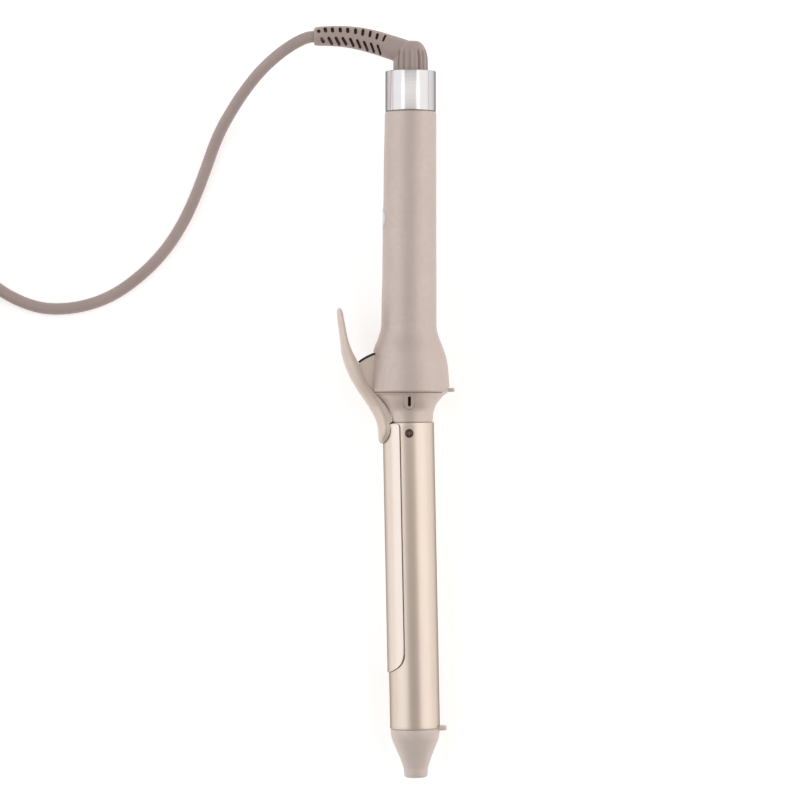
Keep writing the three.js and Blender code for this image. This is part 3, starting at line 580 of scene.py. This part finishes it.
# ------------------------------------------------------------------ handle shells
HANDLE = [
    (141.7, 0.0, 12.98), (141.2, 0.0, 13.11), (133.62, -0.05, 13.21), (117.3, -0.26, 13.41), (96.9, -0.36, 13.52), (76.5, -0.56, 13.72),
    (56.1, -0.64, 13.85), (43.86, -0.82, 14.03), (33.66, -0.87, 14.08), (31.62, -0.92, 14.25), (29.58, -0.92, 14.64), (27.54, -0.97, 15.27),
    (25.5, -0.97, 15.96), (23.46, -1.0, 16.83), (21.42, -1.0, 17.59), (19.38, -0.87, 18.21), (15.3, -0.4, 18.9), (10.2, -0.2, 19.43),
    (5.1, -0.2, 19.79), (0.5, -0.2, 20.04), (-1.02, -0.2, 20.04),
]
h_r = pchip([h[0] for h in HANDLE], [h[2] for h in HANDLE])
h_c = pchip([h[0] for h in HANDLE], [h[1] for h in HANDLE])
ys = list(linspace(161.4, 141.8, 6)) + [141.68, 141.55, 141.4, 141.2, 140.8] + list(linspace(139.8, 44, 40)) + list(linspace(43, 12, 48)) + list(linspace(11, 0.4, 9)) + [0.1, -0.2, -0.5, -0.75, -0.92, -1.02]


def outer_r(y):
    if y > 141.75:
        return 11.7
    r = h_r(y)
    if y > 140.8:
        r -= 0.28 * (1 - math.sqrt(max(0, 1 - ((y - 140.8) / 0.92) ** 2)))
    if y < 0.1:
        r -= 0.55 * (1 - math.sqrt(max(0, 1 - ((0.1 - y) / 1.13) ** 2)))
    return r


def inner_r(y):
    return 10.1 if y > 138 else min(h_r(min(y, 138)) - 2.4, 40)


angs = [0.62, 0.95, 1.4, 2.2] + list(linspace(3.5, 176.5, 110)) + [177.8, 178.6, 179.05, 179.38]


def half(sign):
    outer, inner = [], []
    for y in ys:
        ro, ri, c = outer_r(y), inner_r(y), h_c(min(y, 141.6))
        row_o, row_i = [], []
        for a in angs:
            e = min(a, 180 - a)
            dr = 0.16 * (1 - min(1, (e - 0.62) / 0.75)) ** 2
            t = math.radians(a)
            row_o.append((c + (ro - dr) * math.cos(t), y, sign * (ro - dr) * math.sin(t)))
            row_i.append((c + ri * math.cos(t), y, sign * ri * math.sin(t)))
        outer.append(row_o)
        inner.append(row_i)
    return grid_solid(outer, inner)


slot_arc = [(PIVOT[0] - 30.3 * math.sin(math.radians(a)), PIVOT[1] + 30.3 * math.cos(math.radians(a))) for a in arange(60, -6.1, -1.5)]
for nm, sign in (("handle_shell_upper", 1), ("handle_shell_lower", -1)):
    v, f = half(sign)
    o = new_obj(nm + "_skin", v, f, ("handle",))
    cutters = [new_obj("c1", *prism(slot_arc + [(-6, -3), (-34, -3)], -6.3, 6.3)),
               new_obj("c5", *prism([(-27, -3), (-12, -3), (-12, 6.2), (-16, 7.9), (-27, 9.2)], -7.25, 7.25)),
               new_obj("c2", *box(12, 26, -3, 1.5, -4.35, 4.35)),
               new_obj("c3", *tube((-20, 86.96, 0), (-8, 86.96, 0), 5.58, 96))]
    if sign < 0:
        for x, y in ((6.2, 52), (6.2, 108)):
            cutters.append(new_obj("c4", *tube((x, y, -16), (x, y, -8.4), 2.1, 48)))
    boolean(o, *cutters)
    place(o, M_IRON, "iron", (nm,), 28)

# end band
v, f = lathe(rounded([(12.0, 141.98), (12.85, 141.98), (12.85, 162.4), (12.0, 162.4)], 0.5, 7), 192)
place(new_obj("end_band_plated", v, f, ("chrome",)), M_IRON, "iron", ("end_band",), 40)

# ------------------------------------------------------------------ button
def lathe_x(profile, y, n=96, closed=False):
    v, f = lathe(profile, n, 0, closed)
    # turned round Y, then laid along -X
    return [(-p[1], y + p[0], p[2]) for p in v], f


v, f = lathe_x(rounded([(4.5, 11.4), (5.4, 11.4), (5.4, 14.42), (4.5, 14.42)], 0.3, 5), 86.96, 96, True)
place(new_obj("button_bezel_ring", v, f, ("bezel",)), M_IRON, "iron", ("button_bezel",), 40)
prof = [(0, 5.7), (1.3, 5.7), (1.3, 10.6), (3.9, 10.6), (4.2, 10.9), (4.2, 13.2)]
for k in range(1, 13):
    t = k / 12 * math.pi / 2
    prof.append((4.2 - 1.4 + 1.4 * math.cos(t), 13.2 + 0.45 * math.sin(t)))
for k in range(1, 9):
    t = k / 8
    prof.append((2.8 * (1 - t), 13.65 + 0.35 * (1 - (1 - t) ** 2)))
v, f = lathe_x(prof, 86.96, 96)
place(new_obj("power_button_dome", v, f, ("button",)), M_IRON, "button", ("power_button",), 40)

# ------------------------------------------------------------------ collar
TRUMPET = [
    (19.62, -1.42), (19.3, -1.7), (18.6, -2.04), (17.85, -2.5), (17.2, -3.06), (16.3, -4.08), (15.4, -5.1), (13.97, -7.14),
    (12.95, -9.18), (12.4, -11.22), (12.14, -13.26), (11.98, -15.3), (11.95, -16.0),
]
c_r = pchip([y for r, y in TRUMPET], [r for r, y in TRUMPET])
tr = [(c_r(y), y) for y in linspace(-1.42, -16.0, 60)]
prof = [(3.8, 8), (5.6, 8), (5.6, -1.0), (15.2, -1.0), (15.2, 5), (16.9, 5), (16.9, -1.3), (19.3, -1.3)] + tr + [(11.88, -16.25), (11.7, -16.35), (11.3, -16.35), (11.3, -27), (9.3, -27), (9.3, -14.6), (3.8, -14.6)]
v, f = lathe(prof, 224, -0.66)
col = new_obj("collar_trumpet", v, f, ("collar", "slotdark"))
boolean(col, new_obj("c", *box(-40, -5.2, -15.15, 12, -7.25, 7.25), ("collar",)), new_obj("c", *tube((-8.47, -9.18, -14), (-8.47, -9.18, 9.6), 1.15, 40), ("collar",)))
# rear rest tab with softened edges, its end left flat
tab_rings = []
for x, gy, gz in ((15.1, 0, 0), (21.6, 0, 0), (22.1, 0.12, 0.15), (22.35, 0.32, 0.4), (22.44, 0.55, 0.7)):
    o_ = rounded([(-0.97 + gy, -4 + gz), (1.07 - gy, -4 + gz), (1.07 - gy, 4 - gz), (-0.97 + gy, 4 - gz)], 0.6, 4)
    tab_rings.append([(x, y, z) for y, z in o_])
v, f = loft(tab_rings)
boolean(col, new_obj("tab", v, f, ("collar",)), op="UNION")


# raised boss with its slot on the camera side: a thin skin that follows the trumpet
def boss(inset, lift):
    cx = -0.75
    top, bot, w = -3.2, -9.6 + inset, 2.48 - inset
    outline = [(cx - w, top), (cx - w, bot + w * 0.9)]
    for k in range(1, 16):
        t = math.pi + math.pi * k / 16
        outline.append((cx + w * math.cos(t), bot + w * 0.9 + (w * 0.9 + 0.4) * math.sin(t) * 0.9))
    outline += [(cx + w, bot + w * 0.9), (cx + w, top)]
    return outline


def over_trumpet(x, y, lift):
    r = c_r(y) + lift
    dx = x + 0.66
    return (x, y, math.sqrt(max(r * r - dx * dx, 0.01)))


def patch(outline, lift_edge, lift_top, inner=0.75):
    """skin raised over the trumpet inside an outline, edges softened"""
    cx = sum(p[0] for p in outline) / len(outline)
    cy = sum(p[1] for p in outline) / len(outline)
    v, f = [], []
    scales = (1.0, 0.985, 0.95, 0.9, 0.84, 0.6, 0.3)
    lifts = (lift_edge, lift_top * 0.6, lift_top * 0.92, lift_top, lift_top, lift_top, lift_top)
    n = len(outline)
    for s, l in zip(scales, lifts):
        for x, y in outline:
            v.append(over_trumpet(cx + (x - cx) * s, min(cy + (y - cy) * s, -1.6), l))
    k = len(v)
    v.append(over_trumpet(cx, cy, lift_top))
    for r in range(len(scales) - 1):
        for i in range(n):
            j = (i + 1) % n
            f.append((r * n + i, r * n + j, (r + 1) * n + j, (r + 1) * n + i))
    for i in range(n):
        f.append(((len(scales) - 1) * n + i, (len(scales) - 1) * n + (i + 1) % n, k))
    # underside, just below the trumpet's surface
    b = len(v)
    for x, y in outline:
        v.append(over_trumpet(x, min(y, -1.6), -0.9))
    v.append(over_trumpet(cx, cy, -0.9))
    for i in range(n):
        j = (i + 1) % n
        f.append((i, b + i, b + j, j))
        f.append((b + i, b + n, b + j))
    return v, f


for s in (1,):
    v, f = patch(boss(0, 0), -0.02, 0.5)
    ring_o, ring_i = boss(-0.42, 0), boss(-0.02, 0)
    ring_o = [(x, min(y, -2.6) if k not in (0, len(ring_o) - 1) else y) for k, (x, y) in enumerate(ring_o)]
    m_ = len(ring_o)
    gv = [over_trumpet(x, y, 2.0) for x, y in ring_o] + [over_trumpet(x, y, 2.0) for x, y in ring_i] + [over_trumpet(x, y, -0.26) for x, y in ring_o] + [over_trumpet(x, y, -0.26) for x, y in ring_i]
    gf = []
    for i in range(m_ - 1):
        j = i + 1
        gf += [(i, j, m_ + j, m_ + i), (2 * m_ + i, 3 * m_ + i, 3 * m_ + j, 2 * m_ + j), (i, 2 * m_ + i, 2 * m_ + j, j), (m_ + i, m_ + j, 3 * m_ + j, 3 * m_ + i)]
    gf += [(0, m_, 3 * m_, 2 * m_), (m_ - 1, 3 * m_ - 1, 4 * m_ - 1, 2 * m_ - 1)]
    boolean(col, new_obj("groove", gv, gf, ("collar",)))
    boolean(col, new_obj("boss", v, f, ("collar",)), op="UNION")
    sl = [(-1.43, -3.4), (0.13, -3.4)]
    for k in range(0, 13):
        t = -math.pi * k / 12
        sl.append((-0.65 + 0.78 * math.cos(t), -7.6 + 0.78 * math.sin(t)))
    # the slot's walls take the dark recess material, painted shade inside the slot
    boolean(col, new_obj("slot", *prism(rounded(sl, 0.1, 2), 9.0, 24), ("slotdark",)))
place(col, M_IRON, "iron", ("collar",), 30)

# ------------------------------------------------------------------ barrel, screws, tip
L = 155.8
v, f = lathe(rounded([(11.8, -0.12), (12.7, -0.12), (12.7, -L + 0.12), (11.8, -L + 0.12)], 0.3, 5)[0:0] or
             [(11.8, -0.15), (12.45, -0.15), (12.6, -0.2), (12.68, -0.3), (12.7, -0.45)] + [(12.7, -y) for y in linspace(2, L - 2, 60)] + [(12.7, -L + 0.4), (12.66, -L + 0.2), (12.55, -L + 0.08), (12.4, -L + 0.05), (11.8, -L + 0.05)], 256)
brl = new_obj("barrel_tube_coated", v, f, ("barrel",))
boolean(brl, new_obj("c", *tube((0, -5.46, -14), (0, -5.46, 14), 1.5, 48), ("barrel",)), new_obj("c", *box(8, 16, -L - 2, -154.5, -4.3, 4.3), ("barrel",)))
place(brl, M_BARREL, "iron", ("barrel_tube",), 30)

for nm, s in (("barrel_screw_near", 1), ("barrel_screw_far", -1)):
    prof = [(0, 9.6), (1.15, 9.6), (1.15, 12.8), (2.12, 12.85), (2.2, 12.95), (2.2, 13.15)]
    for k in range(1, 11):
        t = k / 10 * math.pi / 2
        prof.append((2.2 * math.cos(t), 13.15 + 0.62 * math.sin(t)))
    v, f = lathe(prof, 72, 0, False)
    v = [(p[0], -5.46 - p[2], p[1] * s) for p in v]
    o = new_obj(nm + "_head", v, f, ("blackscrew", "edge"))
    cr = [new_obj("c", *box(-1.45, 1.45, -5.46 - 0.36, -5.46 + 0.36, min(s * 12.9, s * 15), max(s * 12.9, s * 15)), ("edge",)),
          new_obj("c", *box(-0.36, 0.36, -5.46 - 1.45, -5.46 + 1.45, min(s * 12.9, s * 15), max(s * 12.9, s * 15)), ("edge",))]
    boolean(o, *cr)
    place(o, M_BARREL, "iron", (nm,), 30)

TIP = [
    (155.88, 12.12), (156.3, 12.44), (157.0, 12.47), (157.9, 12.47), (159.94, 12.24), (161.98, 11.65), (164.02, 10.84), (166.06, 10.0), (168.1, 9.18),
    (170.14, 8.3), (172.18, 7.57), (174.22, 6.9), (176.26, 6.35), (178.3, 6.12), (179.4, 6.0),
]
t_r = pchip([t for t, r in TIP], [r for t, r in TIP])
prof = [(9.4, -148.5), (11.4, -148.5), (11.4, -155.86), (11.95, -155.86)] + [(t_r(t), -t) for t in linspace(155.88, 179.4, 100)]
prof += [(5.92, -180.0), (5.72, -180.45), (5.3, -180.78), (4.7, -181.0), (3.6, -181.18), (2.4, -181.25), (0.0, -181.25)]
prof += [(0, -178.6), (3.2, -178.6), (5.0, -172), (8.0, -164), (9.4, -158)]
v, f = lathe(prof, 192, 0)
tip = new_obj("barrel_tip_moulded", v, f, ("tip",))
tab_rings = []
for x, gy, gz in ((11.0, 0, 0), (15.2, 0, 0), (15.7, 0.14, 0.2), (15.98, 0.4, 0.5), (16.1, 0.65, 0.8)):
    o_ = rounded([(-157.1 + gy, -4 + gz), (-154.9 - gy, -4 + gz), (-154.9 - gy, 4 - gz), (-157.1 + gy, 4 - gz)], 0.6, 4)
    tab_rings.append([(x, y, z) for y, z in o_])
v, f = loft(tab_rings)
boolean(tip, new_obj("tab", v, f, ("tip",)), op="UNION")
place(tip, M_BARREL, "iron", ("barrel_tip",), 30)

# ------------------------------------------------------------------ lever
OUT = [(41.92, -36.26), (41.75, -36.95), (41.3, -37.35), (40.6, -37.58), (39.78, -37.64), (35.7, -37.38), (31.62, -36.87), (27.54, -36.31), (23.46, -35.8), (19.38, -35.45), (15.3, -34.42),
       (11.22, -33.05), (7.14, -31.26), (3.06, -29.07), (-1.02, -26.47), (-5.1, -23.71), (-9.18, -21.06), (-13.26, -18.77), (-17.34, -17.14), (-21.42, -16.5), (-24.5, -16.45), (-26.2, -16.2), (-27.0, -15.6), (-27.39, -14.9)]
RIM0 = [(41.92, -36.2), (41.75, -36.0), (41.3, -35.6), (40.6, -35.3), (39.78, -35.1), (35.7, -34.2), (31.62, -33.45), (27.54, -32.6), (23.46, -31.5), (19.38, -30.0), (15.3, -28.0), (11.2, -26.6), (7.1, -25.2), (3.06, -23.4),
        (-0.5, -20.6), (-3.4, -18.3), (-6.6, -16.3), (-9.4, -14.5), (-11.8, -13.3), (-14.3, -12.5), (-17.3, -12.0), (-20.4, -12.0), (-22.85, -12.5), (-24.7, -13.4), (-26.2, -14.3), (-27.39, -14.6)]
RIM1 = [(41.92, -36.1), (41.75, -35.9), (41.3, -35.35), (40.6, -35.0), (39.78, -34.75), (35.7, -33.91), (31.62, -33.15), (27.54, -32.33), (23.46, -31.21), (19.38, -29.6), (15.3, -27.4), (11.2, -25.9), (7.1, -24.4), (3.06, -22.4),
        (-0.5, -19.2), (-2.9, -16.75), (-5.7, -14.5), (-8.57, -12.24), (-9.84, -11.5), (-11.8, -10.3), (-13.77, -9.4), (-15.2, -9.2), (-16.7, -9.55), (-19.9, -10.15), (-22.2, -10.55), (-24.1, -11.4), (-25.6, -12.4), (-26.8, -13.6), (-27.39, -14.4)]
ZB = [(41.92, 0.9), (41.75, 2.6), (41.3, 4.2), (40.6, 5.6), (39.78, 6.4), (38, 7.0), (35.7, 7.3), (27.5, 7.45), (19.4, 7.3), (11.2, 7.1), (3.06, 7.0), (-2.9, 6.95), (-8.57, 7.2), (-11, 7.8), (-13.77, 8.7), (-15.2, 9.1), (-17, 9.6),
      (-19.9, 10.05), (-22.2, 9.75), (-24.1, 8.9), (-25.6, 7.5), (-26.8, 5.2), (-27.39, 2.6)]
fo, f0, f1, fz = (pchip([p[0] for p in t], [p[1] for p in t]) for t in (OUT, RIM0, RIM1, ZB))
lys = [41.92, 41.85, 41.7, 41.5, 41.2, 40.8, 40.3, 39.7] + list(linspace(39, -14.5, 86)) + list(linspace(-15, -25.5, 28)) + [-25.9, -26.3, -26.6, -26.9, -27.1, -27.25, -27.35, -27.39]
rings = []
for y in lys:
    xo, xr, xb, zb = fo(y), f0(y), f1(y), fz(y)
    zr = zb + 0.05
    halfsec = []
    K = 22
    g = max(0.01, min(0.16, (xb - xr) * 0.22))
    for k in range(K + 1):
        t = math.pi / 2 * k / K
        e = 0.86
        halfsec.append((xr - g - (xr - g - xo) * math.cos(t) ** e, zr * math.sin(t) ** e))
    halfsec.append((xr - 0.2 * g, zr - 1.5 * g))
    halfsec.append((xr + 0.2 * g, zr - 1.5 * g))
    for k in (0.24, 0.5, 0.75, 0.92, 1.0):
        halfsec.append((xr + (xb - xr) * k, zr - 0.35 * g + (zb - zr) * k - (0.14 if k == 1.0 else 0)))
    ax = BASE[0] + (BASE[1] - y) * math.tan(LEAN)
    inner = []
    if y < -16.4:
        for k in range(0, 9):
            z = (zb - 0.35) * (1 - k / 8)
            inner.append((min(ax - math.sqrt(13.85**2 - z * z), xb - 0.05), z))
    else:
        if y > 15:
            xi = xb - 0.45
        elif y > -2:
            xi = min(xb - 1.2, interp(y, [-2, 2.2, 6.5, 10.5, 15], [-23.0, -24.1, -25.3, -26.2, -27.9]))
        else:
            xi = min(xb - 1.6, xo + 5.2)
        w = min(zb - 0.5, max(zb - 1.5, 0.2))
        for k in range(0, 9):
            u = 1 - k / 8
            inner.append((xi + (xb - 0.25 - xi) * (u**4 if y > 15 else u**6), w * u if k else zb - 0.5))
    sec = halfsec + inner[:-1]
    full = [(x, y, z) for x, z in sec] + [(inner[-1][0], y, 0.0)] + [(x, y, -z) for x, z in reversed(sec[1:])]
    rings.append(full)
v, f = loft(rings)
lev = new_obj("thumb_lever_body", v, f, ("lever",))
# web and hub, a plate that slides into the bell
pol = lambda r, a: (PIVOT[0] - r * math.sin(math.radians(a)), PIVOT[1] + r * math.cos(math.radians(a)))
webpts = [(-28.2, 15.6)] + [pol(28.6, a) for a in arange(38.4, 15.8, -0.9)] + [pol(20, 15.9), pol(9, 16), (-6.2, -6.6), (-5.6, -9.2), (-6.4, -11.3), (-8.6, -12.1), (-12.4, -13.8), (-15.8, -13.6), (-20, -7), (-26, 3), (-29.5, 10)]
rings = []
wp = rounded(webpts, 0.5, 3)
wc = (sum(q[0] for q in wp) / len(wp), sum(q[1] for q in wp) / len(wp))
for z, s in ((-6.0, 0.5), (-5.8, 0.15), (-5.5, 0.0), (0, 0), (5.5, 0), (5.8, 0.15), (6.0, 0.5)):
    rings.append([(x + (wc[0] - x) * s * 0.02, y + (wc[1] - y) * s * 0.02, z) for x, y in wp])
v = [p for r in rings for p in r]
n = len(wp)
f = [tuple(range(n)), tuple(range((len(rings) - 1) * n, len(rings) * n))]
for r in range(len(rings) - 1):
    f += [(r * n + i, r * n + (i + 1) % n, (r + 1) * n + (i + 1) % n, (r + 1) * n + i) for i in range(n)]
webo = new_obj("web", v, f, ("lever",))
boolean(webo, new_obj("c", *tube((PIVOT[0], PIVOT[1], -9), (PIVOT[0], PIVOT[1], 9), 1.15, 40), ("lever",)), new_obj("c", *prism([(-4, -3.4), (-11.4, -3.4), (-12.6, -8), (-12.0, -13.2), (-8, -15.5), (-4, -15.5)], -3.4, 3.4), ("lever",)))
boolean(lev, webo, op="UNION")
# two thin gaps cut into the lever beside the pivot; their walls take the black material, painted shade in the gaps
gap = []
for z0, z1 in ((4.0, 14.0), (-14.0, -4.0)):
    d = (Vector((-10.55, -17.5)) - Vector((-8.6, -15.85))).normalized()
    q = Vector((-d.y, d.x)) * 0.42
    a_, b_ = Vector((-8.6, -15.85)), Vector((-10.55, -17.5))
    gap.append(new_obj("gap", *prism([tuple(a_ + q), tuple(b_ + q), tuple(b_ - q), tuple(a_ - q)], z0, z1), ("black",)))
boolean(lev, *gap)
place(lev, M_IRON, "lever", ("thumb_lever",), 35)
# a thin black strip along the web's upper edge
arc_o = [pol(29.93, a) for a in linspace(37.7, 16.0, 40)]
arc_i = [pol(28.85, a) for a in linspace(37.7, 16.0, 40)]
outer, inner = [], []
zz = [-5.6, -5.5, -5.3, -2, 0, 2, 5.3, 5.5, 5.6]
for i in range(40):
    ro, ri = arc_o[i], arc_i[i]
    outer.append([(ro[0] + (ri[0] - ro[0]) * (0.25 if abs(z) > 5.55 else 0.06 if abs(z) > 5.4 else 0), ro[1] + (ri[1] - ro[1]) * (0.25 if abs(z) > 5.55 else 0.06 if abs(z) > 5.4 else 0), z) for z in zz])
    inner.append([(ri[0], ri[1], z) for z in zz])
v, f = grid_solid(outer, inner)
place(new_obj("lever_edge_strip_rubber", v, f, ("black",)), M_IRON, "lever", ("lever_edge_strip",), 40)

# ------------------------------------------------------------------ clip plate
CROWS = [(0.4, 58.0), (0.5, 62.0), (0.8, 65.0), (1.3, 67.2), (2.1, 68.6), (3.2, 69.0), (117.8, 69.0), (118.9, 68.6), (119.9, 67.6), (120.9, 65.9), (121.9, 63.3), (122.9, 59.8), (123.7, 56.2), (124.5, 51.0), (125.2, 45.2), (125.9, 38.0), (126.4, 31), (126.8, 23.5), (127.05, 15.5), (127.15, 9)]
rows = []
for (a, b) in zip(CROWS, CROWS[1:]):
    k = 40 if b[0] - a[0] > 50 else 3
    for i in range(k):
        rows.append((a[0] + (b[0] - a[0]) * i / k, a[1] + (b[1] - a[1]) * i / k))
rows.append(CROWS[-1])
outer, inner = [], []
for t, hf in rows:
    ro_, ri_ = [], []
    for k in range(65):
        u = -1 + 2 * k / 64
        u = math.copysign(1 - (1 - abs(u)) ** 1.25, u)
        a = math.pi + math.radians(hf * u)
        e = (1 - abs(u)) * hf / 57.3 * 13.5  # distance to the edge, mm
        end = min(e, (127.15 - t) * 1.2 + 0.02, (t - 0.38) * 1.2 + 0.02)
        drop = 0.42 * max(0, 1 - end / (0.22 if t < 117 else 0.34))
        ro_.append(((13.5 - drop) * math.cos(a), -t, (13.5 - drop) * math.sin(a)))
        ri_.append((13.02 * math.cos(a), -t, 13.02 * math.sin(a)))
    outer.append(ro_)
    inner.append(ri_)
v, f = grid_solid(outer, inner)
clip = new_obj("clip_plate_coated", v, f, ("clip", "edge"))
# the bevel faces along the clip's edges take the dark edge material: painted shade for the shadow line at the edge
for q in clip.data.polygons:
    if math.hypot(q.center.x, q.center.z) < 13.44:
        q.material_index = 1
place(clip, M_BARREL, "lever", ("clip_plate",), 35)

# ------------------------------------------------------------------ swivel elbow with strain relief
STEM = [(8.9, 161.2), (8.9, 167.03), (8.59, 170.34), (7.78, 173.45), (6.81, 175.39), (5.43, 176.97), (3.9, 177.84), (1.91, 178.04)]
s_r = pchip([y for r, y in STEM], [r for r, y in STEM])
prof = [(0, 160.8), (8.6, 160.8), (8.9, 161.1)] + [(s_r(y), y) for y in list(linspace(162, 175, 30)) + list(linspace(175.3, 178.0, 16))] + [(1.0, 178.04), (0, 178.05)]
v, f = lathe(prof, 96, 0, False)
elbow = new_obj("swivel_elbow_moulded", v, f, ("rubber", "slotdark"))
SLEEVE = [(-1.0, 171.4, 6.2), (-4.39, 172.89, 6.2), (-10.51, 174.93, 6.1), (-18.16, 177.3, 6.0), (-25.81, 179.15, 5.75), (-33.46, 180.2, 5.42), (-41.11, 180.5, 5.1), (-47.6, 180.35, 4.78), (-48.5, 180.3, 4.62), (-49.0, 180.3, 4.35), (-49.3, 180.3, 3.9)]
fine = catmull([(x, y, r) for x, y, r in SLEEVE], 6)
rings = []
for i, p in enumerate(fine):
    a, b = fine[max(0, i - 1)], fine[min(len(fine) - 1, i + 1)]
    d = Vector((b[0] - a[0], b[1] - a[1], 0)).normalized()
    side = Vector((-d.y, d.x, 0))
    rings.append([tuple(Vector((p[0], p[1], 0)) + side * p[2] * math.cos(2 * math.pi * k / 64) + Vector((0, 0, 1)) * p[2] * math.sin(2 * math.pi * k / 64)) for k in range(64)])
v, f = loft(rings)
boolean(elbow, new_obj("sleeve", v, f, ("rubber",)), op="UNION")
md = elbow.modifiers.new("r", "REMESH")
md.mode = "VOXEL"
md.voxel_size = 0.27
md = elbow.modifiers.new("s", "SMOOTH")
md.factor = 0.5
md.iterations = 10
apply_mods(elbow)
GROOVES = [(-64, 0.4), (-44, 0.95), (-23, 0.75), (-3, 0.65), (12, 0.3), (29.5, 1.1), (46, 0.6), (66, 0.6)]
for vert in elbow.data.vertices:
    x, y, z = vert.co
    r = math.hypot(x, z)
    if r < 5.5 or not 161.5 < y < 176:
        continue
    if x < -6.5 and y > 165.5:
        fade = 0.25
    else:
        fade = 1.0
    a = math.degrees(math.atan2(x, abs(z)))
    top = 174.5
    env = max(0, min(1, (top - y) / 3.0)) * fade
    d = sum(dep * math.exp(-(((a - g) / 3.4) ** 2)) - dep * 0.4 * math.exp(-(((a - g - 7) / 4.0) ** 2)) for g, dep in GROOVES)
    k = 1 - env * d / r
    vert.co = (x * k, y, z * k)
PX = lambda p: (308 + p[0] / 17.82 - 410.6) * 0.51
PY = lambda p: (390 - (24 + p[1] / 17.82)) * 0.51
UP = [((190, 112), (200, 178), 1.77), ((300, 70), (325, 172), 1.77), ((432, 70), (445, 172), 1.71), ((570, 72), (585, 172), 1.65), ((705, 78), (715, 182), 1.65), ((848, 88), (850, 202), 1.59),
      ((987, 100), (970, 232), 1.53), ((1120, 130), (1098, 258), 1.42), ((1246, 178), (1218, 298), 1.36), ((1388, 205), (1332, 332), 1.12)]
LOW = [((232, 255), (292, 350), 1.71), ((360, 245), (440, 385), 1.53), ((490, 245), (570, 395), 1.53), ((610, 250), (692, 392), 1.53), ((745, 265), (822, 420), 1.42),
       ((870, 290), (942, 448), 1.36), ((992, 320), (1072, 498), 1.30), ((1115, 350), (1184, 525), 1.24), ((1235, 385), (1300, 562), 1.12)]
cut_v, cut_f = [], []
for s in (1, -1):
    for a, b, w in UP + LOW:
        p, q = Vector((PX(a), PY(a))), Vector((PX(b), PY(b)))
        d = (q - p).normalized()
        nrm = Vector((-d.y, d.x))
        out = []
        for cpt, base in ((q, math.atan2(d.y, d.x) - math.pi / 2), (p, math.atan2(d.y, d.x) + math.pi / 2)):
            back = -d * (w / 2) if cpt is q else d * (w / 2)
            for k in range(9):
                t = base + math.pi * k / 8
                out.append((cpt.x + back.x + w / 2 * math.cos(t), cpt.y + back.y + w / 2 * math.sin(t)))
        vv, ff = prism(out, s * 1.2 if s > 0 else -9.0, 9.0 if s > 0 else -1.2)
        k0 = len(cut_v)
        cut_v += vv
        cut_f += [tuple(i + k0 for i in q_) for q_ in ff]
# the pockets' walls take the dark recess material, painted shade inside the pockets
boolean(elbow, new_obj("slots", cut_v, cut_f, ("slotdark",)))
place(elbow, M_IRON, "cord_set", ("swivel_elbow",), 40)

# ------------------------------------------------------------------ looks of the carried-over nodes
LOOK = {
    "end_cap": "tip", "swivel_housing": "white", "brush_live": "brass", "brush_neutral": "brass", "control_board": "board", "tact_switch": "black", "triac": "black",
    "lead_live": "red", "lead_neutral": "blue", "heater_lead_live": "red", "heater_lead_neutral": "blue", "sensor_lead": "white", "heater_block_upper": "alu", "heater_block_lower": "alu",
    "heating_element": "white", "heater_spring": "steel", "temperature_sensor": "white", "thermal_fuse": "white", "pivot_pin": "steel", "torsion_spring": "steel",
    "handle_screw_top": "steel", "handle_screw_bottom": "steel", "clip_screw_upper": "steel", "clip_screw_lower": "steel", "swivel_spindle": "steel", "slip_ring_live": "brass", "slip_ring_neutral": "brass",
}
for node, look in LOOK.items():
    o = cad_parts[node]
    if isinstance(o, str):
        o = bpy.data.objects[o]
    if not o.material_slots:
        o.data.materials.append(MATS[look])
    for s_ in o.material_slots:
        s_.material = MATS[look]

# ------------------------------------------------------------------ table and light
m = Mat("pale_table")
g = m.noise(9, 3)
m.set(Base__Color=m.mixcol(m.remap(g, 0.3, 0.7, 0, 1), (0.86, 0.86, 0.86, 1), (0.89, 0.89, 0.888, 1)), Roughness=0.8)
m.set(Normal=m.bump(m.noise(700, 3), 0.05, 0.00005))
m.bsdf.inputs["Specular IOR Level"].default_value = 0.2
m.bsdf.inputs["Emission Color"].default_value = (1, 1, 1, 1)
m.bsdf.inputs["Emission Strength"].default_value = 0.42
fl = new_obj("table_top", [(-4, -4, -0.0004), (4, -4, -0.0004), (4, 4, -0.0004), (-4, 4, -0.0004)], [(0, 1, 2, 3)], ("white",))
fl.data.materials[0] = m.m


def area(name, loc, target, sx, sy, power, col):
    d = bpy.data.lights.new(name, "AREA")
    d.shape = "RECTANGLE"
    d.size, d.size_y = sx, sy
    d.energy = power
    d.color = col
    o = bpy.data.objects.new(name, d)
    bpy.context.scene.collection.objects.link(o)
    o.location = loc
    o.rotation_euler = (Vector(target) - Vector(loc)).to_track_quat("-Z", "Y").to_euler()
    return o


def soft(name, loc, target, sx, sy, radiance, col=(0.975, 0.995, 1.03)):
    return area(name, loc, target, sx, sy, radiance * math.pi * sx * sy, col)


soft("softbox_left", (-1.19, 0.45, 0.78), (0, 0.45, 0.0), 2.3, 1.62, 0.88, (0.94, 1.0, 1.09))
soft("softbox_right", (1.19, 0.45, 0.78), (0, 0.45, 0.0), 2.3, 1.62, 0.92)
soft("strip_over_band", (0.0, 0.20, 1.0), (0, 0.155, 0.03), 1.7, 0.18, 0.84)
world = bpy.data.worlds.new("studio")
bpy.context.scene.world = world
world.use_nodes = True
world.node_tree.nodes["Background"].inputs[0].default_value = (1.0, 0.968, 0.918, 1)
world.node_tree.nodes["Background"].inputs[1].default_value = 0.46
